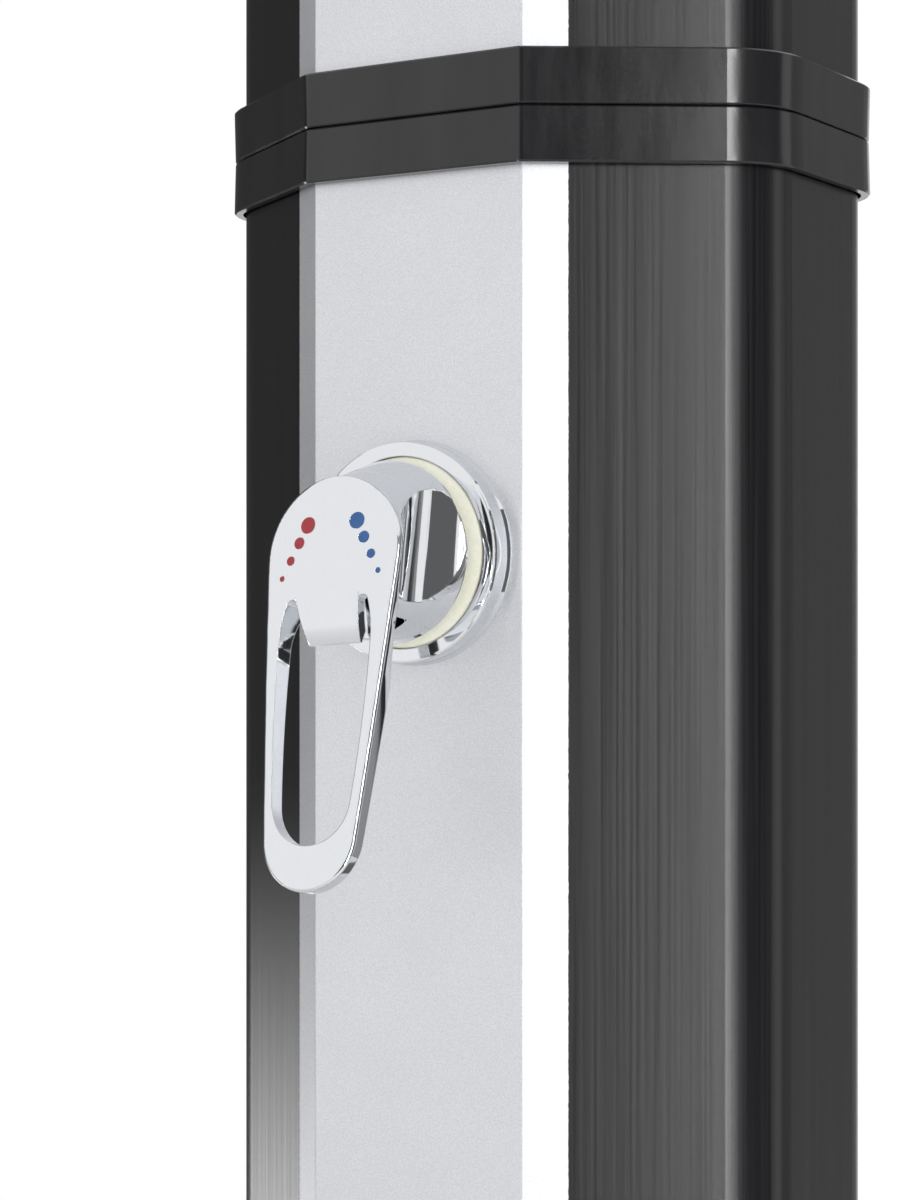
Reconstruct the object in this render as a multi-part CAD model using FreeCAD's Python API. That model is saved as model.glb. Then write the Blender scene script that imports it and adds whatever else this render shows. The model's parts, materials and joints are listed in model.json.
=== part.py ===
"""Two-piece outdoor solar shower post: tank column, concealed single-lever mixer and swivelling shower head.

Millimetres.  +Z is up and the front faces -Y.  The origin lies on the ground, under the middle of the
column's cross-section.  Every piece is a solid of its own and is written to parts/NODE.step.
"""
import FreeCAD, Part
import math
import os

from FreeCAD import Vector

# ---------------------------------------------------------------- column
FRONT_WIDTH = 66.0            # flat front face between the two front corners
FACET_WIDTH = 66.4            # each slanted front facet
FACET_ANGLE = 34.1            # degrees a facet turns back from the front face
SIDE_DEPTH = 73.4             # straight side wall, up to the square back corner
SIDE_CORNER_RADIUS = 23.6     # between a facet and a side wall
BACK_CORNER_RADIUS = 20.0
FRONT_CORNER_RADIUS = 1.2
WALL = 3.5                    # tank wall

LOWER_TANK_LENGTH = 1084.0
UPPER_TANK_LENGTH = 1030.0

# ---------------------------------------------------------------- end caps and their collar skirts
CAP_WEB = 4.0                 # plate that closes the tank
SKIRT_HEIGHT = 15.0
SKIRT_PROUD_WEB = 3.1         # skirt outside the column at the web end
SKIRT_PROUD_MOUTH = 3.45      # and at its mouth
SKIRT_GAP = 0.9               # air between the skirt and the tank
SKIRT_CHAMFER = 0.5
SPIGOT_HEIGHT = 26.0
SPIGOT_WALL = 2.4
CROWN_HEIGHT = 10.0           # slope on the topmost cap
CROWN_INSET = 16.0
SEAT = 0.15                   # clearance of a part that plugs into another
JOINT_GAP = 0.3               # between the two caps at the joint

# ---------------------------------------------------------------- foot
FOOT_WIDTH = 240.0
FOOT_DEPTH = 182.0
FOOT_CORNER_RADIUS = 24.0
FOOT_THICKNESS = 8.0
FOOT_COLLAR_HEIGHT = 30.0
FOOT_COLLAR_WALL = 4.0
FOOT_COLLAR_GAP = 0.5
ANCHOR_SPACING_X = 208.0
ANCHOR_SPACING_Y = 150.0
ANCHOR_HOLE_RADIUS = 4.5
RIB_THICKNESS = 4.0
RIB_HEIGHT = 20.0
FOOT_SCREW_RADIUS = 2.0
FOOT_SCREW_HEIGHT = 9.0       # above the foot plate
FOOT_SCREW_SPACING = 34.0

# ---------------------------------------------------------------- tank coupling and riser
NIPPLE_RADIUS = 32.0
NIPPLE_BORE = 26.0
NIPPLE_REACH = 22.0           # into each cap, past its web
NIPPLE_COLLAR_PROUD = 3.0
NIPPLE_COLLAR_HEIGHT = 4.0    # locates the nipple half in each cap
GASKET_PAIR_THICKNESS = 0.6   # each of the two rings on the nipple's collar
SOCKET_WALL = 6.0
RISER_RADIUS = 8.0
RISER_WALL = 1.5
PICKUP_RADIUS = 5.0
PICKUP_WALL = 1.0
COLD_RADIUS = 7.0
COLD_WALL = 1.5
PORT_OFFSET = 17.5            # hot and cold pipes, each side of the riser
COUPLER_WALL = 3.4
COUPLER_REACH = 24.0
RISER_END_GAP = 2.0
ORING_WIRE = 0.9
ORING_OFFSET = 14.0
PORT_WALL = 3.0
PORT_LENGTH = 36.0
PORT_SOCKET = 11.0

# ---------------------------------------------------------------- mixer
MIXER_DROP = 117.3            # mixer axis below the joint between the tanks
BARREL_RADIUS = 20.5
BARREL_BORE = 17.6
BARREL_PROUD = 6.0
WALL_HOLE_CLEARANCE = 0.8
GASKET_THICKNESS = 2.0
SHOULDER_RADIUS = 28.0
SHOULDER_THICKNESS = 6.0
MIXER_BODY_RADIUS = 24.0
MIXER_BACK = 15.0             # body behind the pipe plane
CARTRIDGE_DEPTH = 26.0        # floor of the bore, inside the front face
PASSAGE_RADIUS = 2.0          # slanted waterways from the pipes to the cartridge's ports
PASSAGE_RISE = 7.0            # where they leave the pipe sockets, above or below the mixer axis
WASHER_THICKNESS = 0.8
LOCK_NUT_THICKNESS = 3.0
LOCK_NUT_RADIUS = 26.0
FLANGE_RADIUS = 29.8
FLANGE_BASE_RADIUS = 30.4
FLANGE_HEIGHT = 7.6
FLANGE_WALL = 2.2
FLANGE_WEB = 3.6
RING_RADIUS = 25.6
RING_TOP = 7.0
RING_THICKNESS = 1.4
RING_BORE = 19.6
RING_BEVEL = 1.2

# ---------------------------------------------------------------- cartridge, from its base to its neck
HOUSING_WALL = 1.9
CARTRIDGE_BASE = 6.0
DISC_RADIUS = 15.2
DISC_THICKNESS = 4.0
SLIDING_DISC_RADIUS = 12.0
SLIDING_DISC_THICKNESS = 6.5
FACE_FILM = 0.05              # water film between the two ceramic faces
DISC_PORT_RADIUS = 2.6
DISC_PORT_CIRCLE = 7.5
SEAL_WIDTH = 1.7
SEAL_HEIGHT = 1.7
ROTOR_CLEARANCE = 0.3
ROTOR_TOP = -2.0              # from the front face of the column, outwards positive
NECK_RADIUS = 9.0
NECK_WALL = 2.2
NECK_TOP = 8.5
CARTRIDGE_NUT_TOP = 7.4
STEM_WIDTH = 7.6
STEM_CLEARANCE = 0.35
PIVOT_HEIGHT = -4.0           # lever pivot, from the front face
PIN_RADIUS = 1.5
DRIVE_ARM = 7.0               # from the pivot to the ball that shifts the sliding disc
DRIVE_BALL_RADIUS = 2.6
STEM_TOP = 33.0

# ---------------------------------------------------------------- lever
MIX_ANGLE = 4.3               # lever turned from straight down, as it stands
LIFT_HALF_RANGE = 9.5         # degrees from mid lift to shut and to fully open
PLATE_TILT = 14.0             # lever plate to the wall at mid lift
PLATE_HEIGHT = 40.7           # plate face on the mixer axis, from the front face
PLATE_CROWN_RADIUS = 150.0
PLATE_TOP = 20.4              # top of the plate above the mixer axis
PLATE_TOP_RADIUS = 20.6
PLATE_SIDE_RADIUS = 3000.0    # gently bowed long sides
PLATE_END = -87.5
PLATE_END_RADIUS = 14.2
ARM_ROOT_THICKNESS = 6.3
ARM_TIP_THICKNESS = 4.0
ARM_ROOT_AT = -23.0
ARM_SWEEP_RADIUS = 24.5
CAP_BASE_HEIGHT = 11.5
CAP_RADIUS = 24.4
CAP_EDGE_RADIUS = 2.0
CAP_UNDER_RIM = 2.8           # where the cap's flank runs out under the plate's rim
CAP_INNER_RADIUS = 20.6
CAP_CAVITY_SHOULDER = 2.6     # straight wall of the cavity, above the cap's base
CAP_CAVITY_TOP = 23.0
CAP_CAVITY_TOP_RADIUS = 12.6
SCOOP_RADIUS = 15.5           # concave flute down each side of the cap, behind the plate's rim
SCOOP_CENTRE = 31.0           # flute's axis, across from the middle of the plate
SCOOP_DEPTH = -14.0           # and behind the plate's face
CAP_BOSS_RADIUS = 7.6
CAP_BOSS_BASE = 15.0
LOOP_HALF_WIDTH = 14.2
LOOP_WIDEST = -24.0
LOOP_END = -76.1
LOOP_END_RADIUS = 12.0
SLIT_APEX_X = 10.2
SLIT_APEX = -12.0
SLIT_TOP_X = 12.5             # where the loop's side ends, beside the slit's apex
SLIT_TOP = -13.0
TONGUE_HALF_WIDTH = 8.0
TONGUE_END = -23.2
TONGUE_DEPTH = 5.4
TONGUE_START = -7.0
TONGUE_THICKNESS = 3.0
RIM_ROUND = 1.1               # along the plate's rim
GRUB_RADIUS = 2.5
GRUB_LENGTH = 8.0
GRUB_HEIGHT = 21.0
MARK_DEPTH = 0.5
MARK_PROUD = 0.06
MARK_FIRST = (7.6, 7.6)       # centre of the largest mark, across and up the plate
MARK_LAST = (14.9, -6.0)
MARK_RADII = (2.2, 1.55, 1.2, 0.7)

# ---------------------------------------------------------------- water inlet and drain at the back
INLET_HEIGHT = 110.0
INLET_THREAD_RADIUS = 13.2    # G 3/4 male
INLET_THREAD_LENGTH = 16.0
INLET_HEX = 30.0
INLET_HEX_THICKNESS = 6.0
INLET_SHANK_RADIUS = 10.0
INLET_BORE = 6.0
INLET_NUT_THICKNESS = 6.0
TEE_RADIUS = 13.0
DRAIN_HEIGHT = 62.0
DRAIN_RADIUS = 6.0
DRAIN_HEAD_RADIUS = 11.0

# ---------------------------------------------------------------- shower arm and head
ARM_DROP = 56.0               # arm axis below the top of the upper tank
ARM_RADIUS = 10.5
ARM_WALL = 2.0
ARM_REACH = 44.0              # straight run in front of the column
ARM_BEND_RADIUS = 42.0
ARM_BEND_ANGLE = 52.0
ARM_TAIL = 16.0
ARM_INSIDE = 20.0             # behind the column's front wall
ROSETTE_RADIUS = 28.0
ROSETTE_THICKNESS = 7.0
BALL_RADIUS = 12.0
BALL_NECK_RADIUS = 6.5
BALL_GAP = 0.3
SEAT_CUP_WALL = 1.1
HEAD_RADIUS = 75.0
HEAD_DEPTH = 36.0
HEAD_WALL = 2.5
FACE_THICKNESS = 3.0
NOZZLE_RADIUS = 1.9
NOZZLE_TIP_RADIUS = 1.1
NOZZLE_PROUD = 1.6
NOZZLE_RINGS = ((0.0, 1), (24.0, 6), (50.0, 12))

# ---------------------------------------------------------------- derived levels
HALF_DEPTH = (FACET_WIDTH * math.sin(math.radians(FACET_ANGLE)) + SIDE_DEPTH) / 2
HALF_WIDTH = FRONT_WIDTH / 2 + FACET_WIDTH * math.cos(math.radians(FACET_ANGLE))
LOWER_TANK_BASE = FOOT_THICKNESS + CAP_WEB
JOINT_HEIGHT = LOWER_TANK_BASE + LOWER_TANK_LENGTH + CAP_WEB + JOINT_GAP / 2
UPPER_TANK_BASE = JOINT_HEIGHT + JOINT_GAP / 2 + CAP_WEB
UPPER_TANK_TOP = UPPER_TANK_BASE + UPPER_TANK_LENGTH
MIXER_HEIGHT = JOINT_HEIGHT - MIXER_DROP
ARM_HEIGHT = UPPER_TANK_TOP - ARM_DROP
PIPE_PLANE = -HALF_DEPTH      # the pipes' plane, in the mixer's outward distance
UP = Vector(0, 0, 1)
RIGHT = Vector(1, 0, 0)
ORIGIN = Vector(0, 0, 0)


# ================================================================ shared shapes
def rounded_wire(points, radii, level):
    """Closed outline at one level, each corner rounded by its own radius with a true arc."""
    count = len(points)
    starts, ends, middles = [], [], []
    for i, (corner, radius) in enumerate(zip(points, radii)):
        before = Vector(*points[i - 1]) - Vector(*corner)
        after = Vector(*points[(i + 1) % count]) - Vector(*corner)
        half_turn = (math.pi - before.getAngle(after)) / 2
        before.normalize()
        after.normalize()
        reach = radius * math.tan(half_turn)
        inward = (before + after).normalize()
        centre = Vector(*corner) + inward * (radius / math.cos(half_turn))
        starts.append(Vector(*corner) + before * reach)
        ends.append(Vector(*corner) + after * reach)
        middles.append(centre - inward * radius)
    edges = []
    for i in range(count):
        edges.append(Part.Arc(starts[i], middles[i], ends[i]).toShape())
        edges.append(Part.LineSegment(ends[i], starts[(i + 1) % count]).toShape())
    wire = Part.Wire(edges)
    wire.translate(UP * level)
    return wire


def section_wire(grow, level):
    """The column's outline, moved outwards by grow."""
    angle = math.radians(FACET_ANGLE)
    facet = Vector(math.sin(angle), -math.cos(angle))
    normals = [Vector(0, -1), facet, Vector(1, 0), Vector(0, 1)]
    facet_back = -HALF_DEPTH + FACET_WIDTH * math.sin(angle)
    corners = [(FRONT_WIDTH / 2, -HALF_DEPTH), (HALF_WIDTH, facet_back), (HALF_WIDTH, HALF_DEPTH)]
    radii = [FRONT_CORNER_RADIUS, SIDE_CORNER_RADIUS, BACK_CORNER_RADIUS]
    right = []
    for corner, one, two in zip(corners, normals, normals[1:]):
        moved = Vector(*corner) + (one + two) * (grow / (1 + one.dot(two)))
        right.append((moved.x, moved.y))
    left = [(-x, y) for x, y in reversed(right)]
    grown = [max(radius + grow, 0.4) for radius in radii]
    return rounded_wire(right + left, grown + grown[::-1], level)


def section_prism(grow, low, high):
    return Part.Face(section_wire(grow, low)).extrude(UP * (high - low))


def section_loft(stages):
    """Solid through the column's outline at several (grow, level) stages, with straight flanks."""
    wires = [section_wire(grow, level) for grow, level in stages]
    return Part.makeLoft(wires, True, True)


def cylinder(radius, low, high, x=0.0, y=0.0):
    return Part.makeCylinder(radius, high - low, Vector(x, y, low))


def ring(outer, inner, low, high, x=0.0, y=0.0):
    return cylinder(outer, low, high, x, y).cut(cylinder(inner, low - 1, high + 1, x, y))


def turned(points):
    """Solid turned about Z from a closed (radius, height) profile."""
    path = [Vector(r, 0, z) for r, z in points]
    face = Part.Face(Part.makePolygon(path + path[:1]))
    return face.revolve(ORIGIN, UP, 360)


def hexagon(across_flats, low, high):
    corner = across_flats / math.sqrt(3)
    angles = [math.radians(60 * i + 30) for i in range(7)]
    path = [Vector(corner * math.cos(a), corner * math.sin(a), low) for a in angles]
    return Part.Face(Part.makePolygon(path)).extrude(UP * (high - low))


def to_front(shape, height, x=0.0):
    """Stands a shape built along +Z on the front face of the column, pointing out of it."""
    moved = shape.copy()
    moved.rotate(ORIGIN, RIGHT, 90)
    moved.translate(Vector(x, -HALF_DEPTH, height))
    return moved


def to_back(shape, height, x=0.0):
    """Stands a shape built along +Z on the back of the column, pointing out of it."""
    moved = shape.copy()
    moved.rotate(ORIGIN, RIGHT, -90)
    moved.translate(Vector(x, HALF_DEPTH, height))
    return moved


def mirrored_down(shape, level):
    """Flips a shape built upwards from z = 0 so that it hangs down from a level."""
    flipped = shape.mirror(ORIGIN, UP)
    flipped.translate(UP * level)
    return flipped


# ================================================================ column
def tank(low, high):
    return section_prism(0, low, high).cut(section_prism(-WALL, low - 1, high + 1))


def end_cap():
    """Cap built with its web on z = 0 and its mouth upwards: skirt outside the tank, spigot inside it."""
    body = section_loft([
        (SKIRT_PROUD_WEB - SKIRT_CHAMFER, 0),
        (SKIRT_PROUD_WEB, SKIRT_CHAMFER),
        (SKIRT_PROUD_MOUTH, SKIRT_HEIGHT - SKIRT_CHAMFER),
        (SKIRT_PROUD_MOUTH - SKIRT_CHAMFER, SKIRT_HEIGHT),
    ])
    body = body.cut(section_prism(SKIRT_GAP, CAP_WEB, SKIRT_HEIGHT + 1))
    outside = -WALL - SEAT
    spigot = section_prism(outside, 0, SPIGOT_HEIGHT)
    spigot = spigot.cut(section_prism(outside - SPIGOT_WALL, CAP_WEB, SPIGOT_HEIGHT + 1))
    return body.fuse(spigot)


def coupling_cap():
    """End cap with the threaded socket that takes the coupling nipple."""
    socket = cylinder(NIPPLE_RADIUS + SEAT + SOCKET_WALL, 0, CAP_WEB + NIPPLE_REACH)
    bore = cylinder(NIPPLE_RADIUS + SEAT, -1, CAP_WEB + NIPPLE_REACH + 1)
    recess = cylinder(NIPPLE_RADIUS + NIPPLE_COLLAR_PROUD + SEAT, -1, NIPPLE_COLLAR_HEIGHT / 2 + SEAT)
    return end_cap().fuse(socket).cut(bore).cut(recess).removeSplitter()


def lower_tank():
    shell = tank(LOWER_TANK_BASE, LOWER_TANK_BASE + LOWER_TANK_LENGTH)
    reach = WALL + 2
    shell = shell.cut(to_front(cylinder(BARREL_RADIUS + WALL_HOLE_CLEARANCE, -reach, 2), MIXER_HEIGHT))
    shell = shell.cut(to_back(cylinder(INLET_SHANK_RADIUS + SEAT, -reach, 2), INLET_HEIGHT, PORT_OFFSET))
    return shell.cut(to_back(cylinder(DRAIN_RADIUS + SEAT, -reach, 2), DRAIN_HEIGHT, -PORT_OFFSET))


def upper_tank():
    shell = tank(UPPER_TANK_BASE, UPPER_TANK_TOP)
    return shell.cut(to_front(cylinder(ARM_RADIUS + SEAT, -WALL - 2, 2), ARM_HEIGHT))


def upper_tank_top_cap():
    """Top cap: the same cap with a sloping crown over it."""
    crown = section_loft([
        (SKIRT_PROUD_WEB - SKIRT_CHAMFER, 0),
        (-CROWN_INSET, -CROWN_HEIGHT),
    ])
    return mirrored_down(end_cap().fuse(crown).removeSplitter(), UPPER_TANK_TOP + CAP_WEB)


def foot_screw_axes():
    for side in (-1, 1):
        for step in (-0.5, 0.5):
            yield side, SIDE_DEPTH / 4 + step * FOOT_SCREW_SPACING


def across_side(shape, side, y):
    """Turns a shape built along +Z to point out of the left (-1) or right (1) side at the foot screws."""
    moved = shape.copy()
    moved.rotate(ORIGIN, Vector(0, 1, 0), 90 * side)
    moved.translate(Vector(side * HALF_WIDTH, y, FOOT_THICKNESS + FOOT_SCREW_HEIGHT))
    return moved


def lower_tank_bottom_cap():
    cap = end_cap()
    cap.translate(UP * FOOT_THICKNESS)
    for side, y in foot_screw_axes():
        cap = cap.cut(across_side(cylinder(FOOT_SCREW_RADIUS + 0.05, SKIRT_GAP / 2, 6), side, y))
    return cap


def base_foot():
    """Ground plate with a collar round the bottom cap, gusset ribs and four anchor holes."""
    half_x, half_y = FOOT_WIDTH / 2, FOOT_DEPTH / 2
    corners = [(half_x, -half_y), (half_x, half_y), (-half_x, half_y), (-half_x, -half_y)]
    outline = rounded_wire(corners, [FOOT_CORNER_RADIUS] * 4, 0)
    plate = Part.Face(outline).extrude(UP * FOOT_THICKNESS)
    inner = SKIRT_PROUD_MOUTH + FOOT_COLLAR_GAP
    outer = inner + FOOT_COLLAR_WALL
    top = FOOT_THICKNESS + FOOT_COLLAR_HEIGHT
    foot = plate.fuse(section_prism(outer, FOOT_THICKNESS - 1, top))
    rib_foot = FOOT_THICKNESS - 1
    rib_top = FOOT_THICKNESS + RIB_HEIGHT
    ribs = []
    for side in (-1, 1):
        for step in (-1, 0, 1):
            y = SIDE_DEPTH / 4 + step * FOOT_SCREW_SPACING
            ribs.append(([(side * HALF_WIDTH / 2, y), (side * (half_x - 6), y)], Vector(0, 1, 0)))
        ribs.append(([(side * HALF_WIDTH / 2, 0), (side * HALF_WIDTH / 2, half_y - 5)], RIGHT))
        ribs.append(([(side * FRONT_WIDTH / 4, 0), (side * FRONT_WIDTH / 4, 5 - half_y)], RIGHT))
    for ((x0, y0), (x1, y1)), thick in ribs:
        path = [Vector(x0, y0, rib_foot), Vector(x1, y1, rib_foot), Vector(x1, y1, rib_foot + 3),
                Vector(x0, y0, rib_top), Vector(x0, y0, rib_foot)]
        web = Part.Face(Part.makePolygon(path))
        web.translate(thick * (-RIB_THICKNESS / 2))
        foot = foot.fuse(web.extrude(thick * RIB_THICKNESS))
    foot = foot.cut(section_prism(inner, FOOT_THICKNESS, top + 1))
    for x in (-ANCHOR_SPACING_X / 2, ANCHOR_SPACING_X / 2):
        for y in (-ANCHOR_SPACING_Y / 2, ANCHOR_SPACING_Y / 2):
            foot = foot.cut(cylinder(ANCHOR_HOLE_RADIUS, -1, FOOT_THICKNESS + 1, x, y))
    for side, y in foot_screw_axes():
        foot = foot.cut(across_side(cylinder(FOOT_SCREW_RADIUS + 0.4, SKIRT_PROUD_MOUTH, outer + 2), side, y))
    return foot.removeSplitter()


def foot_screws():
    """Four pan-head screws through the foot's collar into the bottom cap's skirt."""
    head_base = SKIRT_PROUD_MOUTH + FOOT_COLLAR_GAP + FOOT_COLLAR_WALL
    screw = turned([
        (0, SKIRT_GAP), (FOOT_SCREW_RADIUS, SKIRT_GAP), (FOOT_SCREW_RADIUS, head_base),
        (2 * FOOT_SCREW_RADIUS, head_base), (2 * FOOT_SCREW_RADIUS, head_base + 1.2),
        (1.2 * FOOT_SCREW_RADIUS, head_base + 2.4), (0, head_base + 2.4),
    ])
    recess = hexagon(2.4, head_base + 1.0, head_base + 3)
    screw = screw.cut(recess)
    return Part.makeCompound([across_side(screw, side, y) for side, y in foot_screw_axes()])


# ================================================================ coupling between the tanks
def coupling_nipple():
    reach = CAP_WEB + NIPPLE_REACH
    body = ring(NIPPLE_RADIUS, NIPPLE_BORE, JOINT_HEIGHT - reach, JOINT_HEIGHT + reach)
    thick = NIPPLE_COLLAR_HEIGHT / 2 - GASKET_PAIR_THICKNESS
    outer = NIPPLE_RADIUS + NIPPLE_COLLAR_PROUD
    collar = ring(outer, NIPPLE_BORE, JOINT_HEIGHT - thick, JOINT_HEIGHT + thick)
    return body.fuse(collar).removeSplitter()


def coupling_gaskets():
    """Two flat rings, one between the nipple's collar and each cap."""
    half = NIPPLE_COLLAR_HEIGHT / 2
    outer = NIPPLE_RADIUS + NIPPLE_COLLAR_PROUD
    inner = NIPPLE_RADIUS + 0.05
    lower = ring(outer, inner, JOINT_HEIGHT - half, JOINT_HEIGHT - half + GASKET_PAIR_THICKNESS)
    upper = ring(outer, inner, JOINT_HEIGHT + half - GASKET_PAIR_THICKNESS, JOINT_HEIGHT + half)
    return Part.makeCompound([lower, upper])


def riser_coupler():
    bore = RISER_RADIUS + 0.1
    body = ring(bore + COUPLER_WALL, bore, JOINT_HEIGHT - COUPLER_REACH, JOINT_HEIGHT + COUPLER_REACH)
    for side in (-1, 1):
        middle = JOINT_HEIGHT + side * ORING_OFFSET
        body = body.cut(cylinder(RISER_RADIUS + 2 * ORING_WIRE + 0.2, middle - 1.4, middle + 1.4))
    return body


def riser_orings():
    rings = []
    for side in (-1, 1):
        middle = JOINT_HEIGHT + side * ORING_OFFSET
        centre = RISER_RADIUS + 0.1 + ORING_WIRE
        angles = [math.radians(45 * i) for i in range(8)]
        rings.append(turned([(centre + ORING_WIRE * math.cos(a), middle + ORING_WIRE * math.sin(a))
                             for a in angles]))
    return Part.makeCompound(rings)


def pipe(radius, wall, low, high, x=0.0):
    return ring(radius, radius - wall, low, high, x)


def lower_riser_pipe():
    low = MIXER_HEIGHT + PORT_LENGTH - PORT_SOCKET
    return pipe(RISER_RADIUS, RISER_WALL, low, JOINT_HEIGHT - RISER_END_GAP)


def upper_riser_pipe():
    return pipe(RISER_RADIUS, RISER_WALL, JOINT_HEIGHT + RISER_END_GAP, ARM_HEIGHT - ARM_RADIUS - 4)


def hot_pickup_pipe():
    """Open pipe that takes the hottest water from under the top cap down to the mixer."""
    return pipe(PICKUP_RADIUS, PICKUP_WALL, MIXER_HEIGHT + PORT_LENGTH - PORT_SOCKET,
                UPPER_TANK_TOP - 8, -PORT_OFFSET)


def cold_feed_pipe():
    return pipe(COLD_RADIUS, COLD_WALL, INLET_HEIGHT + TEE_RADIUS + 2,
                MIXER_HEIGHT - PORT_LENGTH + PORT_SOCKET, PORT_OFFSET)


# ================================================================ mixer
def mixer_body():
    """Concealed brass mixer: threaded barrel through the wall, shoulder, chamber and three pipe sockets."""
    shoulder_front = -WALL - GASKET_THICKNESS
    body = turned([
        (0, PIPE_PLANE - MIXER_BACK), (MIXER_BODY_RADIUS - 3, PIPE_PLANE - MIXER_BACK),
        (MIXER_BODY_RADIUS, PIPE_PLANE - MIXER_BACK + 3),
        (MIXER_BODY_RADIUS, shoulder_front - SHOULDER_THICKNESS),
        (SHOULDER_RADIUS, shoulder_front - SHOULDER_THICKNESS), (SHOULDER_RADIUS, shoulder_front),
        (BARREL_RADIUS, shoulder_front), (BARREL_RADIUS, BARREL_PROUD - 0.6),
        (BARREL_RADIUS - 0.6, BARREL_PROUD), (BARREL_BORE, BARREL_PROUD),
        (BARREL_BORE, -CARTRIDGE_DEPTH), (0, -CARTRIDGE_DEPTH),
    ])
    body = to_front(body, MIXER_HEIGHT)
    ports = [(0.0, 1, RISER_RADIUS), (-PORT_OFFSET, 1, PICKUP_RADIUS), (PORT_OFFSET, -1, COLD_RADIUS)]
    for x, way, pipe_radius in ports:
        ends = sorted((MIXER_HEIGHT, MIXER_HEIGHT + way * PORT_LENGTH))
        body = body.fuse(cylinder(pipe_radius + PORT_WALL, ends[0], ends[1], x))
    for x, way, pipe_radius in ports:
        mouth = MIXER_HEIGHT + way * (PORT_LENGTH + 1)
        floor = MIXER_HEIGHT + way * (PORT_LENGTH - PORT_SOCKET)
        ends = sorted((mouth, floor))
        body = body.cut(cylinder(pipe_radius + 0.05, ends[0], ends[1], x))
        ends = sorted((mouth, MIXER_HEIGHT))
        body = body.cut(cylinder(pipe_radius - PICKUP_WALL, ends[0], ends[1], x))
    for (pipe_x, way, _), (x, up) in zip(ports, disc_port_places()):
        start = Vector(pipe_x, way * PASSAGE_RISE, PIPE_PLANE)
        along = Vector(x, up, -CARTRIDGE_DEPTH) - start
        passage = Part.makeCylinder(PASSAGE_RADIUS, along.Length + 1, start, along)
        body = body.cut(to_front(passage, MIXER_HEIGHT))
    return body


def mixer_gasket():
    seal = ring(SHOULDER_RADIUS, BARREL_RADIUS + SEAT, -WALL - GASKET_THICKNESS, -WALL)
    return to_front(seal, MIXER_HEIGHT)


def mixer_washer():
    return to_front(ring(LOCK_NUT_RADIUS, BARREL_RADIUS + SEAT, 0, WASHER_THICKNESS), MIXER_HEIGHT)


def mixer_lock_nut():
    """Notched ring nut that clamps the mixer to the wall, hidden under the flange."""
    nut = ring(LOCK_NUT_RADIUS, BARREL_RADIUS + 0.05, WASHER_THICKNESS, WASHER_THICKNESS + LOCK_NUT_THICKNESS)
    for i in range(6):
        notch = Part.makeBox(4, 5, LOCK_NUT_THICKNESS + 2,
                             Vector(LOCK_NUT_RADIUS - 2.5, -2.5, WASHER_THICKNESS - 1))
        notch.rotate(ORIGIN, UP, 60 * i)
        nut = nut.cut(notch)
    return to_front(nut, MIXER_HEIGHT)


def mixer_flange():
    """Chromed bell that screws over the barrel and carries the cover ring in its face."""
    web_back = FLANGE_HEIGHT - FLANGE_WEB
    recess = RING_TOP - RING_THICKNESS
    bell = turned([
        (FLANGE_BASE_RADIUS, 0), (FLANGE_BASE_RADIUS, 0.8), (FLANGE_RADIUS, 2.0),
        (FLANGE_RADIUS, FLANGE_HEIGHT - 0.9),
        (FLANGE_RADIUS - 0.3, FLANGE_HEIGHT - 0.2), (FLANGE_RADIUS - 0.9, FLANGE_HEIGHT),
        (RING_RADIUS + SEAT, FLANGE_HEIGHT), (RING_RADIUS + SEAT, recess),
        (BARREL_RADIUS + 0.05, recess), (BARREL_RADIUS + 0.05, web_back),
        (FLANGE_RADIUS - FLANGE_WALL, web_back), (FLANGE_RADIUS - FLANGE_WALL, 0),
    ])
    return to_front(bell, MIXER_HEIGHT)


def cover_ring():
    """Ivory ring seated in the flange's face, with a bevelled inner edge."""
    base = RING_TOP - RING_THICKNESS
    body = turned([
        (RING_BORE, base + 0.1), (RING_RADIUS, base), (RING_RADIUS, RING_TOP - 0.3),
        (RING_RADIUS - 0.3, RING_TOP), (RING_BORE + RING_BEVEL, RING_TOP),
        (RING_BORE, RING_TOP - RING_BEVEL + 0.2),
    ])
    body = body.cut(cylinder(BARREL_RADIUS + 0.2, base - 1, BARREL_PROUD + 0.2))
    return to_front(body, MIXER_HEIGHT)


# ================================================================ cartridge
def disc_port_places():
    """Mixed water on top, then hot on the left and cold on the right."""
    for i in range(3):
        angle = math.radians(90 + 120 * i)
        yield DISC_PORT_CIRCLE * math.cos(angle), DISC_PORT_CIRCLE * math.sin(angle)


def disc_ports(radius, low, high):
    return Part.makeCompound([cylinder(radius, low, high, x, y) for x, y in disc_port_places()])


def cartridge_base():
    low = -CARTRIDGE_DEPTH + 0.5
    high = -CARTRIDGE_DEPTH + CARTRIDGE_BASE
    base = cylinder(BARREL_BORE - 0.2, low, high)
    base = base.cut(disc_ports(DISC_PORT_RADIUS, low - 1, high + 1))
    base = base.cut(disc_ports(DISC_PORT_RADIUS + SEAL_WIDTH + 0.1, low - 1, low + SEAL_HEIGHT - 0.5))
    return to_front(base, MIXER_HEIGHT)


def port_seals():
    """Three rubber rings round the ports, between the cartridge and the floor of its bore."""
    seals = [ring(DISC_PORT_RADIUS + SEAL_WIDTH, DISC_PORT_RADIUS, -CARTRIDGE_DEPTH,
                  -CARTRIDGE_DEPTH + SEAL_HEIGHT, x, y) for x, y in disc_port_places()]
    return to_front(Part.makeCompound(seals), MIXER_HEIGHT)


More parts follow.
